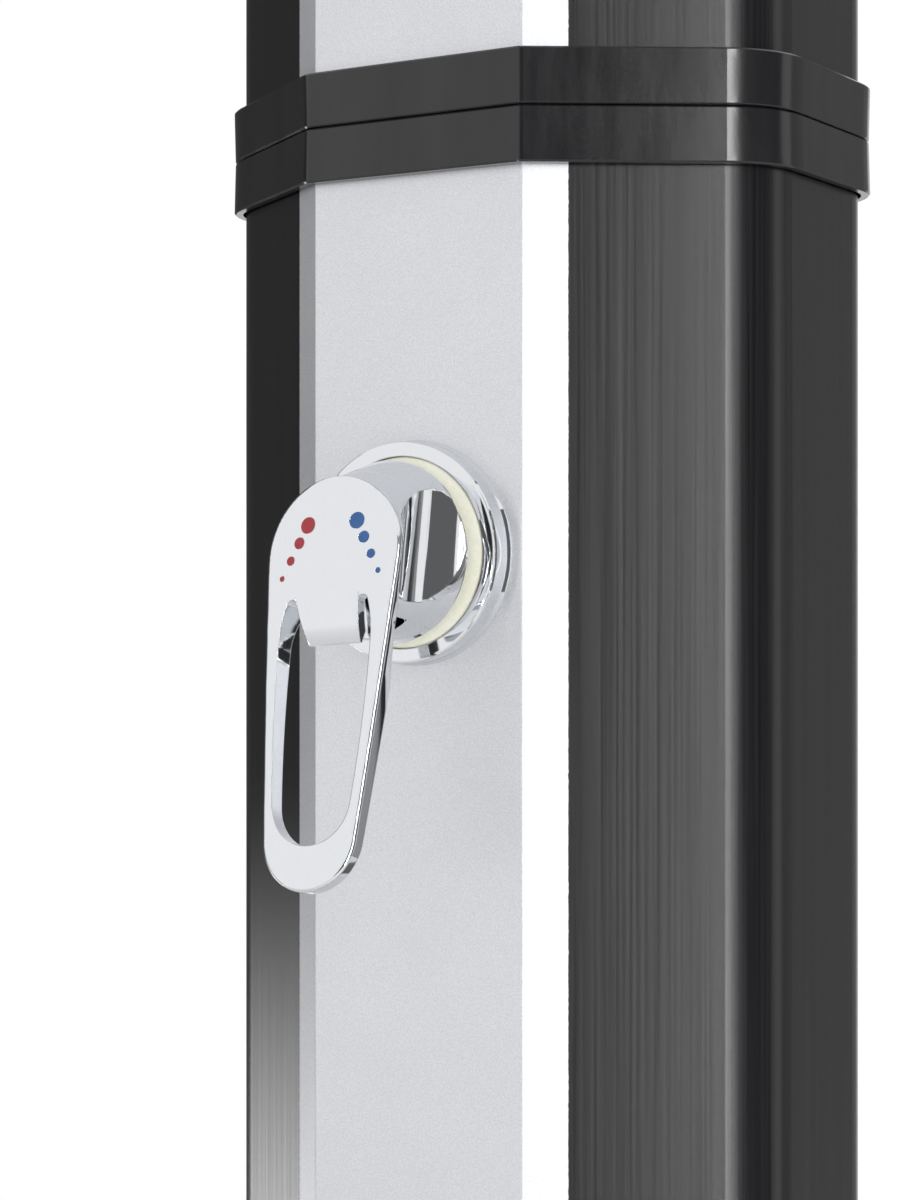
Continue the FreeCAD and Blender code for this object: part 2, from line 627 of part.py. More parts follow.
def cartridge_housing():
    """Plastic shell of the cartridge: a cylinder with a shoulder and a neck round the rotor."""
    low = -CARTRIDGE_DEPTH + CARTRIDGE_BASE
    outer = BARREL_BORE - 0.2
    inner = outer - HOUSING_WALL
    shoulder = ROTOR_TOP + ROTOR_CLEARANCE
    shell = turned([
        (inner, low), (outer, low), (outer, shoulder + 1.5), (NECK_RADIUS + NECK_WALL, shoulder + 3.0),
        (NECK_RADIUS + NECK_WALL, NECK_TOP - 0.5), (NECK_RADIUS + NECK_WALL - 0.5, NECK_TOP),
        (NECK_RADIUS, NECK_TOP), (NECK_RADIUS, shoulder), (inner, shoulder),
    ])
    return to_front(shell, MIXER_HEIGHT)


def fixed_ceramic_disc():
    low = -CARTRIDGE_DEPTH + CARTRIDGE_BASE
    disc = cylinder(DISC_RADIUS, low, low + DISC_THICKNESS)
    disc = disc.cut(disc_ports(DISC_PORT_RADIUS, low - 1, low + DISC_THICKNESS + 1))
    return to_front(disc, MIXER_HEIGHT)


def disc_face():
    return -CARTRIDGE_DEPTH + CARTRIDGE_BASE + DISC_THICKNESS + FACE_FILM


def with_mix(shape):
    """Turns what follows the mixing movement to the lever's own angle."""
    shape.rotate(ORIGIN, UP, MIX_ANGLE)
    return to_front(shape, MIXER_HEIGHT)


def sliding_ceramic_disc():
    """Disc that the stem's ball shifts up and down; its underside has the mixing recess."""
    low = disc_face()
    disc = cylinder(SLIDING_DISC_RADIUS, low, low + SLIDING_DISC_THICKNESS)
    mixing = cylinder(7.0, low - 1, low + 1.2)
    floor = PIVOT_HEIGHT - DRIVE_ARM - DRIVE_BALL_RADIUS - FACE_FILM
    pocket = cylinder(DRIVE_BALL_RADIUS + ROTOR_CLEARANCE, floor, low + SLIDING_DISC_THICKNESS + 1)
    return with_mix(disc.cut(mixing).cut(pocket))


def rotor_base():
    return disc_face() + SLIDING_DISC_THICKNESS + 0.3


def mixing_rotor():
    """Turns in the housing; the stem rocks in its slot on a cross pin."""
    radius = BARREL_BORE - 0.2 - HOUSING_WALL - ROTOR_CLEARANCE
    neck = NECK_RADIUS - ROTOR_CLEARANCE
    low = rotor_base()
    rotor = cylinder(radius, low, ROTOR_TOP).fuse(cylinder(neck, low, NECK_TOP + 0.5))
    half = STEM_WIDTH / 2 + STEM_CLEARANCE
    sway = half + (NECK_TOP + 0.5 - PIVOT_HEIGHT) * math.tan(math.radians(LIFT_HALF_RANGE)) + 0.2
    tail = half + (PIVOT_HEIGHT - low) * math.tan(math.radians(LIFT_HALF_RANGE)) + 0.5
    path = [(sway, NECK_TOP + 1.5), (half + 0.2, PIVOT_HEIGHT), (tail, low - 1),
            (-tail, low - 1), (-half - 0.2, PIVOT_HEIGHT), (-sway, NECK_TOP + 1.5)]
    corners = [Vector(-half, y, z) for y, z in path]
    slot = Part.Face(Part.makePolygon(corners + corners[:1])).extrude(RIGHT * (2 * half))
    start = Vector(-radius - 1, 0, PIVOT_HEIGHT)
    pin_hole = Part.makeCylinder(PIN_RADIUS + 0.05, 2 * radius + 2, start, RIGHT)
    return with_mix(rotor.cut(slot).cut(pin_hole))


def stem_pin():
    length = 2 * (NECK_RADIUS - ROTOR_CLEARANCE) - 1
    return with_mix(Part.makeCylinder(PIN_RADIUS, length, Vector(-length / 2, 0, PIVOT_HEIGHT), RIGHT))


def cartridge_nut():
    """Threaded ring that holds the cartridge down in the barrel."""
    shoulder = ROTOR_TOP + ROTOR_CLEARANCE + 3.1
    nut = ring(BARREL_BORE - 0.05, NECK_RADIUS + NECK_WALL + 0.1, shoulder, CARTRIDGE_NUT_TOP)
    for i in range(4):
        notch = Part.makeBox(4, 3, 2, Vector(BARREL_BORE - 3, -1.5, CARTRIDGE_NUT_TOP - 1.5))
        notch.rotate(ORIGIN, UP, 90 * i)
        nut = nut.cut(notch)
    return to_front(nut, MIXER_HEIGHT)


def cartridge_stem():
    """Square stem with the drive ball under its pivot."""
    half = STEM_WIDTH / 2
    bar = Part.makeBox(STEM_WIDTH, STEM_WIDTH, STEM_TOP - PIVOT_HEIGHT + half,
                       Vector(-half, -half, PIVOT_HEIGHT - half))
    tail = cylinder(DRIVE_BALL_RADIUS - 1, PIVOT_HEIGHT - DRIVE_ARM, PIVOT_HEIGHT)
    ball = Part.makeSphere(DRIVE_BALL_RADIUS, Vector(0, 0, PIVOT_HEIGHT - DRIVE_ARM))
    stem = bar.fuse(tail).fuse(ball)
    stem = stem.cut(Part.makeCylinder(PIN_RADIUS + 0.05, 40, Vector(-20, 0, PIVOT_HEIGHT), RIGHT))
    return with_mix(stem)


# ================================================================ lever
def on_plate(shape):
    """Moves a shape from the lever plate's own frame (across, along, out of its face) to the mixer axis."""
    moved = shape.copy()
    moved.rotate(ORIGIN, RIGHT, -PLATE_TILT)
    moved.translate(UP * PLATE_HEIGHT)
    return moved


def arc(one, two, three):
    return Part.Arc(Vector(*one), Vector(*two), Vector(*three)).toShape()


def line(one, two):
    return Part.LineSegment(Vector(*one), Vector(*two)).toShape()


def plate_outline():
    """Round top and round end, joined by long side arcs that run smoothly into both."""
    top = PLATE_TOP - PLATE_TOP_RADIUS
    end = PLATE_END + PLATE_END_RADIUS
    span = top - end
    reach_top = PLATE_SIDE_RADIUS - PLATE_TOP_RADIUS
    reach_end = PLATE_SIDE_RADIUS - PLATE_END_RADIUS
    down = (span ** 2 + reach_top ** 2 - reach_end ** 2) / (2 * span)
    across = math.sqrt(reach_top ** 2 - down ** 2)
    edges = []
    for side in (1, -1):
        centre = Vector(-side * across, top - down)
        outwards = [Vector(0, top) - centre, Vector(0, end) - centre, Vector(0, (top + end) / 2) - centre]
        high, low, middle = [centre + v.normalize() * PLATE_SIDE_RADIUS for v in outwards]
        edges.append((high, middle, low))
    (high, middle, low), (high_left, middle_left, low_left) = edges
    return Part.Wire([
        arc(high_left, (0, PLATE_TOP), high), arc(high, middle, low),
        arc(low, (0, PLATE_END), low_left), arc(low_left, middle_left, high_left),
    ])


def loop_side_arcs(side):
    """Side of the finger loop: an arc from the slit to the widest place, and one down to the round end."""
    drop = LOOP_WIDEST - SLIT_TOP
    lead = LOOP_HALF_WIDTH - SLIT_TOP_X
    upper_radius = (lead ** 2 + drop ** 2) / (2 * lead)
    end = Vector(0, LOOP_END + LOOP_END_RADIUS)
    span = LOOP_WIDEST - end.y
    spare = LOOP_HALF_WIDTH - LOOP_END_RADIUS
    lower_radius = (span ** 2 + LOOP_HALF_WIDTH ** 2 - LOOP_END_RADIUS ** 2) / (2 * spare)
    widest = Vector(side * LOOP_HALF_WIDTH, LOOP_WIDEST)
    upper_centre = widest - RIGHT * (side * upper_radius)
    lower_centre = widest - RIGHT * (side * lower_radius)
    slit = Vector(side * SLIT_TOP_X, SLIT_TOP)
    low = end + (end - lower_centre).normalize() * LOOP_END_RADIUS
    high_middle = upper_centre + ((widest + slit) / 2 - upper_centre).normalize() * upper_radius
    low_middle = lower_centre + ((widest + low) / 2 - lower_centre).normalize() * lower_radius
    return [arc(slit, high_middle, widest), arc(widest, low_middle, low)], low


def loop_outline():
    """Finger loop with a slit running up each side of the tongue."""
    edges = []
    lows = []
    for side in (1, -1):
        shoulder = (side * (SLIT_APEX_X - 0.5), SLIT_APEX - 0.6)
        edges.append(line((side * TONGUE_HALF_WIDTH, TONGUE_END), shoulder))
        edges.append(arc(shoulder, (side * (SLIT_APEX_X + 0.6), SLIT_APEX), (side * SLIT_TOP_X, SLIT_TOP)))
        sides, low = loop_side_arcs(side)
        edges += sides
        lows.append(low)
    edges.append(arc(lows[0], (0, LOOP_END), lows[1]))
    edges.append(line((-TONGUE_HALF_WIDTH, TONGUE_END), (TONGUE_HALF_WIDTH, TONGUE_END)))
    return Part.Wire(Part.sortEdges(edges)[0])


def behind_arm():
    """Space behind the lever arm: straight under the arm, then sweeping back beside the cap."""
    root = Vector(0, ARM_ROOT_AT, -ARM_ROOT_THICKNESS)
    tip = Vector(0, PLATE_END - 5, -ARM_TIP_THICKNESS)
    centre_b = ARM_ROOT_AT - 3.0
    centre_c = -ARM_ROOT_THICKNESS - math.sqrt(ARM_SWEEP_RADIUS ** 2 - 9.0)
    end = Vector(0, centre_b + ARM_SWEEP_RADIUS, centre_c)
    turn = math.radians(45)
    swing = Vector(0, math.cos(turn), math.sin(turn)) * ARM_SWEEP_RADIUS
    middle = Vector(0, centre_b, centre_c) + swing
    far = -PLATE_HEIGHT - 40
    corner_high = Vector(0, end.y, far)
    corner_low = Vector(0, tip.y, far)
    wire = Part.Wire([
        Part.LineSegment(tip, root).toShape(), Part.Arc(root, middle, end).toShape(),
        Part.LineSegment(end, corner_high).toShape(), Part.LineSegment(corner_high, corner_low).toShape(),
        Part.LineSegment(corner_low, tip).toShape(),
    ])
    face = Part.Face(wire)
    face.translate(RIGHT * -40)
    return face.extrude(RIGHT * 80)


def under_plate_face():
    """Everything behind the plate's crowned face, large enough to hold the lever."""
    length = 260.0
    start = Vector(0, -length / 2, -PLATE_CROWN_RADIUS)
    barrel = Part.makeCylinder(PLATE_CROWN_RADIUS, length, start, Vector(0, 1, 0))
    barrel.rotate(start, Vector(0, 1, 0), 180)      # keeps the cylinder's seam off the plate's face
    return barrel


def tongue_dish():
    """Hollow in the plate's face that lets the tongue between the slits dip back."""
    run = TONGUE_START - TONGUE_END
    radius = (run ** 2 + TONGUE_DEPTH ** 2) / (2 * TONGUE_DEPTH)
    half = SLIT_APEX_X - 0.4
    tool = Part.makeCylinder(radius, 2 * half, Vector(-half, TONGUE_START, -radius), RIGHT)
    corner = Vector(-half, TONGUE_END - 4, -TONGUE_DEPTH - 0.5)
    block = Part.makeBox(2 * half, run + 4, TONGUE_DEPTH + 4, corner)
    return block.cut(tool)


def tongue_back():
    """Space behind the tongue, which keeps the tongue an even thickness."""
    run = TONGUE_START - TONGUE_END
    radius = (run ** 2 + TONGUE_DEPTH ** 2) / (2 * TONGUE_DEPTH) - TONGUE_THICKNESS
    return Part.makeCylinder(radius, 24, Vector(-12, TONGUE_START, -radius - TONGUE_THICKNESS), RIGHT)


def cap_shell():
    """Cap with a round rim at its base, drawn in and tilted towards the plate above it."""
    base = CAP_BASE_HEIGHT + CAP_EDGE_RADIUS
    rim = Part.Circle(Vector(0, 0, base), UP, CAP_RADIUS).toShape()
    neck_centre = Vector(0, PLATE_TOP - PLATE_TOP_RADIUS, -CAP_UNDER_RIM)
    neck = Part.Circle(neck_centre, UP, PLATE_TOP_RADIUS - SEAT).toShape()
    flank = Part.makeLoft([Part.Wire(rim), Part.Wire(on_plate(neck).Edges)], True, True)
    foot = cylinder(CAP_RADIUS, CAP_BASE_HEIGHT, base)
    lowest = [edge for edge in foot.Edges if edge.BoundBox.ZMax < CAP_BASE_HEIGHT + 0.1]
    foot = foot.makeFillet(CAP_EDGE_RADIUS - 0.1, lowest)
    return flank.fuse(foot)


def side_scoop(side):
    """Flute that hollows the cap's side behind the plate's rim."""
    start = Vector(side * SCOOP_CENTRE, PLATE_END, SCOOP_DEPTH)
    return Part.makeCylinder(SCOOP_RADIUS, 2 * abs(PLATE_END), start, Vector(0, 1, 0))


def lever_handle():
    """Chromed lever: a hollow cap over the cartridge and a looped plate that grows out of its face."""
    arm = Part.Face(plate_outline()).extrude(UP * 60)
    arm.translate(UP * -55)
    arm = arm.common(under_plate_face())
    arm = arm.cut(behind_arm())
    rim = [edge for edge in arm.Edges if edge.BoundBox.ZMax > -3.5 and edge.BoundBox.ZMin > -3.5]
    arm = arm.makeFillet(RIM_ROUND, rim)
    handle = cap_shell().fuse(on_plate(arm).cut(cylinder(200, -200, CAP_BASE_HEIGHT + CAP_EDGE_RADIUS)))
    cavity = turned([
        (0, CAP_BASE_HEIGHT - 5), (CAP_INNER_RADIUS, CAP_BASE_HEIGHT - 5),
        (CAP_INNER_RADIUS, CAP_BASE_HEIGHT + CAP_CAVITY_SHOULDER),
        (CAP_CAVITY_TOP_RADIUS, CAP_CAVITY_TOP), (0, CAP_CAVITY_TOP),
    ])
    cavity = cavity.cut(cylinder(CAP_BOSS_RADIUS, CAP_BOSS_BASE, CAP_CAVITY_TOP + 1))
    for side in (-1, 1):
        handle = handle.cut(on_plate(side_scoop(side)))
    handle = handle.cut(cavity)
    handle = handle.cut(on_plate(tongue_dish()))
    handle = handle.cut(on_plate(tongue_back()))
    window = Part.Face(loop_outline()).extrude(UP * 60)
    window.translate(UP * -40)
    handle = handle.cut(on_plate(window).cut(cylinder(CAP_RADIUS, 0, CAP_CAVITY_TOP + 3)))
    half = STEM_WIDTH / 2 + 0.1
    corner = Vector(-half, -half, CAP_BOSS_BASE - 1)
    socket = Part.makeBox(2 * half, 2 * half, STEM_TOP - CAP_BOSS_BASE + 1.2, corner)
    handle = handle.cut(socket)
    handle = handle.cut(grub_hole())
    for side in (-1, 1):
        for mark in marks(side, 1.0):
            handle = handle.cut(mark)
    return with_mix(handle)


def grub_hole():
    """Threaded hole under the cap for the screw that grips the stem."""
    start = Vector(0, -STEM_WIDTH / 2, GRUB_HEIGHT)
    return Part.makeCylinder(GRUB_RADIUS + 0.05, 40, start, Vector(0, -1, 0))


def lever_screw():
    start = -STEM_WIDTH / 2 - 0.05
    screw = Part.makeCylinder(GRUB_RADIUS, GRUB_LENGTH, Vector(0, start, GRUB_HEIGHT), Vector(0, -1, 0))
    key = hexagon(2.5, 0, 3)
    key.rotate(ORIGIN, RIGHT, 90)
    key.translate(Vector(0, start - GRUB_LENGTH + 2.5, GRUB_HEIGHT))
    return with_mix(screw.cut(key))


def marks(side, tall):
    """Row of four round inlays that shrink down the plate."""
    found = []
    for i, radius in enumerate(MARK_RADII):
        share = i / (len(MARK_RADII) - 1)
        x = MARK_FIRST[0] + share * (MARK_LAST[0] - MARK_FIRST[0])
        y = MARK_FIRST[1] + share * (MARK_LAST[1] - MARK_FIRST[1])
        face = -PLATE_CROWN_RADIUS + math.sqrt(PLATE_CROWN_RADIUS ** 2 - (x + radius) ** 2)
        found.append(on_plate(cylinder(radius, face - MARK_DEPTH, face + tall, side * x, y)))
    return found


def hot_marks():
    return with_mix(Part.makeCompound(marks(-1, 2 * MARK_PROUD)))


def cold_marks():
    return with_mix(Part.makeCompound(marks(1, 2 * MARK_PROUD)))


# ================================================================ inlet and drain
def inlet_nipple():
    """Hose nipple: male thread outside, hexagon against the wall, shank inside."""
    seat = 1.2
    base = seat + INLET_HEX_THICKNESS
    nipple = cylinder(INLET_SHANK_RADIUS, -WALL - 18, seat + 1)
    nipple = nipple.fuse(hexagon(INLET_HEX, seat, base))
    thread = turned([
        (0, base - 1), (INLET_THREAD_RADIUS, base - 1),
        (INLET_THREAD_RADIUS, base + INLET_THREAD_LENGTH - 1),
        (INLET_THREAD_RADIUS - 1, base + INLET_THREAD_LENGTH), (0, base + INLET_THREAD_LENGTH),
    ])
    nipple = nipple.fuse(thread).cut(cylinder(INLET_BORE, -60, 60))
    return to_back(nipple, INLET_HEIGHT, PORT_OFFSET)


def inlet_washer():
    return to_back(ring(INLET_HEX / 2 - 0.5, INLET_SHANK_RADIUS + 0.1, 0, 1.2), INLET_HEIGHT, PORT_OFFSET)


def inlet_lock_nut():
    nut = hexagon(INLET_HEX, -WALL - INLET_NUT_THICKNESS, -WALL)
    return to_back(nut.cut(cylinder(INLET_SHANK_RADIUS + 0.05, -60, 10)), INLET_HEIGHT, PORT_OFFSET)


def inlet_tee():
    """Splits the feed: up to the mixer, and straight on into the tank."""
    front = -WALL - INLET_NUT_THICKNESS - 1
    back = -HALF_DEPTH - 18
    body = to_back(cylinder(TEE_RADIUS, back, front), INLET_HEIGHT, PORT_OFFSET)
    top = INLET_HEIGHT + TEE_RADIUS + 16
    body = body.fuse(cylinder(COLD_RADIUS + PORT_WALL, INLET_HEIGHT, top, PORT_OFFSET))
    shank = cylinder(INLET_SHANK_RADIUS + 0.05, -WALL - 19, front + 1)
    body = body.cut(to_back(shank, INLET_HEIGHT, PORT_OFFSET))
    body = body.cut(to_back(cylinder(INLET_BORE, back - 1, front), INLET_HEIGHT, PORT_OFFSET))
    body = body.cut(cylinder(COLD_RADIUS + 0.05, INLET_HEIGHT + TEE_RADIUS + 2, top + 1, PORT_OFFSET))
    return body.cut(cylinder(COLD_RADIUS - COLD_WALL, INLET_HEIGHT, top + 1, PORT_OFFSET))


def drain_plug():
    """Screw plug low at the back, with a coin slot, for emptying the tank in winter."""
    plug = cylinder(DRAIN_RADIUS, -WALL - 6, 2).fuse(turned([
        (0, 1.5), (DRAIN_HEAD_RADIUS, 1.5), (DRAIN_HEAD_RADIUS, 6.5),
        (DRAIN_HEAD_RADIUS - 1.5, 8.0), (0, 8.0),
    ]))
    slot = Part.makeBox(2 * DRAIN_HEAD_RADIUS + 2, 2.4, 4, Vector(-DRAIN_HEAD_RADIUS - 1, -1.2, 6.0))
    return to_back(plug.cut(slot), DRAIN_HEIGHT, -PORT_OFFSET)


def drain_seal():
    return to_back(ring(DRAIN_HEAD_RADIUS - 1, DRAIN_RADIUS + 0.1, 0, 1.5), DRAIN_HEIGHT, -PORT_OFFSET)


# ================================================================ shower arm
def arm_end():
    """Where the bent arm ends, and the direction in which it points."""
    turn = math.radians(ARM_BEND_ANGLE)
    heading = Vector(0, -math.cos(turn), -math.sin(turn))
    y = -HALF_DEPTH - ARM_REACH - ARM_BEND_RADIUS * math.sin(turn)
    z = ARM_HEIGHT - ARM_BEND_RADIUS * (1 - math.cos(turn))
    return Vector(0, y, z) + heading * ARM_TAIL, heading


def bent_rod(radius):
    """Straight run out of the column, bend, and straight tail, all of one radius."""
    end, heading = arm_end()
    start = Vector(0, -HALF_DEPTH + WALL + ARM_INSIDE, ARM_HEIGHT)
    bend = Vector(0, -HALF_DEPTH - ARM_REACH, ARM_HEIGHT)
    run = Part.makeCylinder(radius, start.y - bend.y, start, Vector(0, -1, 0))
    section = Part.Face(Part.Wire(Part.Circle(bend, Vector(0, -1, 0), radius).toShape()))
    curve = section.revolve(bend - UP * ARM_BEND_RADIUS, RIGHT, ARM_BEND_ANGLE)
    tail = Part.makeCylinder(radius, ARM_TAIL, end - heading * ARM_TAIL, heading)
    return run.fuse(curve).fuse(tail)


def shower_arm():
    return bent_rod(ARM_RADIUS).cut(bent_rod(ARM_RADIUS - ARM_WALL)).removeSplitter()


def arm_rosette():
    body = turned([
        (ARM_RADIUS + 0.1, 0), (ROSETTE_RADIUS, 0), (ROSETTE_RADIUS, 1.2), (ROSETTE_RADIUS - 4, 3.4),
        (ARM_RADIUS + 6, ROSETTE_THICKNESS - 0.8), (ARM_RADIUS + 2, ROSETTE_THICKNESS),
        (ARM_RADIUS + 0.1, ROSETTE_THICKNESS),
    ])
    return to_front(body, ARM_HEIGHT)


def arm_gasket():
    return to_front(ring(ARM_RADIUS + 6, ARM_RADIUS + 0.1, -WALL - GASKET_THICKNESS, -WALL), ARM_HEIGHT)


def arm_lock_nut():
    top = -WALL - GASKET_THICKNESS
    nut = hexagon(2 * ARM_RADIUS + 9, top - 6, top).cut(cylinder(ARM_RADIUS + 0.05, -40, 0))
    return to_front(nut, ARM_HEIGHT)


def outlet_elbow():
    """Turns the mixed water from the riser into the arm."""
    face = -WALL - GASKET_THICKNESS - 7
    outer = ARM_RADIUS + PORT_WALL
    body = to_front(cylinder(outer, PIPE_PLANE + PICKUP_RADIUS + 2, face), ARM_HEIGHT)
    low = ARM_HEIGHT - ARM_RADIUS - 16
    body = body.fuse(cylinder(RISER_RADIUS + PORT_WALL, low, ARM_HEIGHT + 4))
    body = body.cut(to_front(cylinder(ARM_RADIUS + 0.05, -WALL - 20.5, face + 1), ARM_HEIGHT))
    body = body.cut(to_front(cylinder(RISER_RADIUS - RISER_WALL, PIPE_PLANE, face), ARM_HEIGHT))
    body = body.cut(cylinder(RISER_RADIUS + 0.05, low - 1, ARM_HEIGHT - ARM_RADIUS - 4))
    return body.cut(cylinder(RISER_RADIUS - RISER_WALL, low - 1, ARM_HEIGHT))


# ================================================================ shower head, built with its spray side down
BALL_STEM = 34.0              # from the ball's centre to the end of its threaded socket
ARM_SOCKET = 13.0


def on_arm(shape):
    """Moves the head from its own frame, ball centre at the origin, to the end of the arm."""
    end, heading = arm_end()
    moved = shape.copy()
    moved.rotate(ORIGIN, RIGHT, -(90 - ARM_BEND_ANGLE))
    moved.translate(end + heading * (BALL_STEM - ARM_SOCKET))
    return moved


def arm_ball():
    """Swivel ball on a hexagonal socket that screws onto the arm."""
    hex_low = BALL_RADIUS + 6
    body = Part.makeSphere(BALL_RADIUS).fuse(cylinder(BALL_NECK_RADIUS, 0, hex_low + 1))
    body = body.fuse(hexagon(2 * ARM_RADIUS + 6, hex_low, BALL_STEM))
    body = body.cut(cylinder(ARM_RADIUS + 0.05, BALL_STEM - ARM_SOCKET, BALL_STEM + 1))
    body = body.cut(cylinder(4.0, -BALL_RADIUS - 1, BALL_STEM))
    return on_arm(body)


def ball_seat():
    """Spherical cup under the ball; it seals against the ball and the head."""
    inner = Part.makeSphere(BALL_RADIUS + BALL_GAP)
    outer = Part.makeSphere(BALL_RADIUS + BALL_GAP + SEAT_CUP_WALL)
    cup = outer.cut(inner)
    cup = cup.common(cylinder(BALL_RADIUS + 4, -BALL_RADIUS - 4, -BALL_RADIUS * 0.45))
    return on_arm(cup.cut(cylinder(6.0, -BALL_RADIUS - 4, 0)))


def socket_radius():
    return BALL_RADIUS + 2 * BALL_GAP + SEAT_CUP_WALL


def ball_nut():
    """Collar nut that holds the head on the ball."""
    body = turned([
        (0, -11), (18.5, -11), (19.5, -10), (19.5, 5), (17, 9), (0, 9),
    ])
    body = body.cut(Part.makeSphere(BALL_RADIUS + BALL_GAP))
    body = body.cut(cylinder(16.0 + SEAT, -12, -0.3))
    mouth = Part.makeCone(9.4, 12.5, 4, Vector(0, 0, 6.5))
    body = body.cut(mouth)
    for i in range(8):
        groove = cylinder(2.0, -8, 10, 20.6, 0)
        groove.rotate(ORIGIN, UP, 45 * i)
        body = body.cut(groove)
    return on_arm(body)


def head_shell():
    """Round shell of the head: threaded hub with the ball socket, then a shallow dome and a rim."""
    floor = -socket_radius() - 3.2
    rim_top = -HEAD_DEPTH + 9
    body = turned([
        (0, -0.3), (16.0, -0.3), (16.0, -12), (19.5, -12), (24, floor),
        (HEAD_RADIUS * 0.62, rim_top + 4.5),
        (HEAD_RADIUS - 4, rim_top), (HEAD_RADIUS - 1, rim_top - 1.8), (HEAD_RADIUS, rim_top - 4),
        (HEAD_RADIUS, -HEAD_DEPTH), (0, -HEAD_DEPTH),
    ])
    hollow = turned([
        (0, floor - 1.0), (18, floor - 1.0), (22, floor - 2.6),
        (HEAD_RADIUS * 0.62, rim_top + 4.5 - HEAD_WALL),
        (HEAD_RADIUS - 5, rim_top - HEAD_WALL), (HEAD_RADIUS - HEAD_WALL, rim_top - 4 - HEAD_WALL / 2),
        (HEAD_RADIUS - HEAD_WALL, -HEAD_DEPTH - 1), (0, -HEAD_DEPTH - 1),
    ])
    body = body.cut(hollow).cut(Part.makeSphere(socket_radius()))
    body = body.cut(cylinder(5.0, floor - 3, 0))
    return on_arm(body)


def nozzle_places():
    for radius, count in NOZZLE_RINGS:
        for i in range(count):
            angle = 2 * math.pi * (i + 0.5) / count
            yield radius * math.cos(angle), radius * math.sin(angle)


def face_low():
    return -HEAD_DEPTH + 0.8


def face_plate():
    radius = HEAD_RADIUS - HEAD_WALL - SEAT
    low = face_low()
    plate = cylinder(radius, low, low + FACE_THICKNESS)
    holes = [cylinder(NOZZLE_RADIUS + 0.2, low - 1, low + FACE_THICKNESS + 1, x, y)
             for x, y in nozzle_places()]
    return on_arm(plate.cut(Part.makeCompound(holes)))


def nozzle_mat():
    """Rubber mat behind the face plate, with a conical nozzle through each of its holes."""
    top = face_low() + FACE_THICKNESS
    tip = face_low() - NOZZLE_PROUD
    mat = cylinder(HEAD_RADIUS - HEAD_WALL - 2, top, top + 1.2)
    nozzles = []
    for x, y in nozzle_places():
        nozzle = Part.makeCone(NOZZLE_TIP_RADIUS, NOZZLE_RADIUS, top + 0.2 - tip, Vector(x, y, tip))
        nozzles.append(nozzle)
    return on_arm(mat.fuse(nozzles))


# ================================================================ export
NODES = [
    base_foot, foot_screws, lower_tank_bottom_cap, lower_tank, coupling_cap, upper_tank, upper_tank_top_cap,
    coupling_nipple, coupling_gaskets, riser_coupler, riser_orings, lower_riser_pipe, upper_riser_pipe,
    hot_pickup_pipe, cold_feed_pipe, mixer_body, mixer_gasket, mixer_washer, mixer_lock_nut, mixer_flange,
    cover_ring, cartridge_base, port_seals, cartridge_housing, fixed_ceramic_disc, sliding_ceramic_disc,
    mixing_rotor, stem_pin, cartridge_nut, cartridge_stem, lever_handle, lever_screw, hot_marks, cold_marks,
    inlet_nipple, inlet_washer, inlet_lock_nut, inlet_tee, drain_plug, drain_seal, shower_arm, arm_rosette,
    arm_gasket, arm_lock_nut, outlet_elbow, arm_ball, ball_seat, ball_nut, head_shell, face_plate, nozzle_mat,
]


def write(shape, name):
    shape.exportStep(os.path.join("parts", name + ".step"))


def main():
    os.makedirs("parts", exist_ok=True)
    for make in NODES:
        if make is coupling_cap:
            cap = coupling_cap()
            write(mirrored_down(cap, JOINT_HEIGHT - JOINT_GAP / 2), "lower_tank_top_cap")
            cap.translate(UP * (JOINT_HEIGHT + JOINT_GAP / 2))
            write(cap, "upper_tank_bottom_cap")
        else:
            write(make(), make.__name__)
    print("column", round(2 * HALF_WIDTH, 1), "by", round(2 * HALF_DEPTH, 1), "mm")
    print("mixer axis at", round(MIXER_HEIGHT, 2), "mm")


main()
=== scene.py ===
# %% [markdown]
# # A solar shower post
# This notebook dresses a garden shower: a dark tank column with a silver lacquered front, a black
# collar where its two tanks meet, and a chromed lever with a finger loop. The shapes come from the
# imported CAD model, in metres, with +Z up and the front facing -Y. Here each piece gets its finish,
# the pieces that repeat are made by Geometry Nodes, and a small studio is built around them.

# %% The frame
import bmesh
import bpy
import json
import math
from mathutils import Matrix, Vector


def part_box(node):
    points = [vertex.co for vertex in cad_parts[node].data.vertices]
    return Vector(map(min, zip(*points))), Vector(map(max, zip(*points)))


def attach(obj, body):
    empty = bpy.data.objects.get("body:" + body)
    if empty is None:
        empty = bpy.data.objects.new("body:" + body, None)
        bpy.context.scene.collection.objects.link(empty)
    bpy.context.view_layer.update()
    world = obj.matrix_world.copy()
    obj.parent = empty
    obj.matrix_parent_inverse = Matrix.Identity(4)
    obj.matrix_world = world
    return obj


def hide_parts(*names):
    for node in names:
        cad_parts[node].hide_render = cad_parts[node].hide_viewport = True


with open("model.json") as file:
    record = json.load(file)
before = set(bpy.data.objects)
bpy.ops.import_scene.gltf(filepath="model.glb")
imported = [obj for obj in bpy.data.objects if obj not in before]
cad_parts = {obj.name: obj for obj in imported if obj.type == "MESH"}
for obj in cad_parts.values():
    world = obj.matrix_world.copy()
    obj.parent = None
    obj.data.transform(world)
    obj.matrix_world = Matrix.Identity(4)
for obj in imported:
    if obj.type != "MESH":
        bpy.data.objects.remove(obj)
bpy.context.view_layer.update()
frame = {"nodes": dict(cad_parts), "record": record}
nodes = frame["nodes"]


# %% [markdown]
# Sizes are read from the frame where they can be. The front face of the column and the axis of the
# mixer are the two places that the rest hangs on.

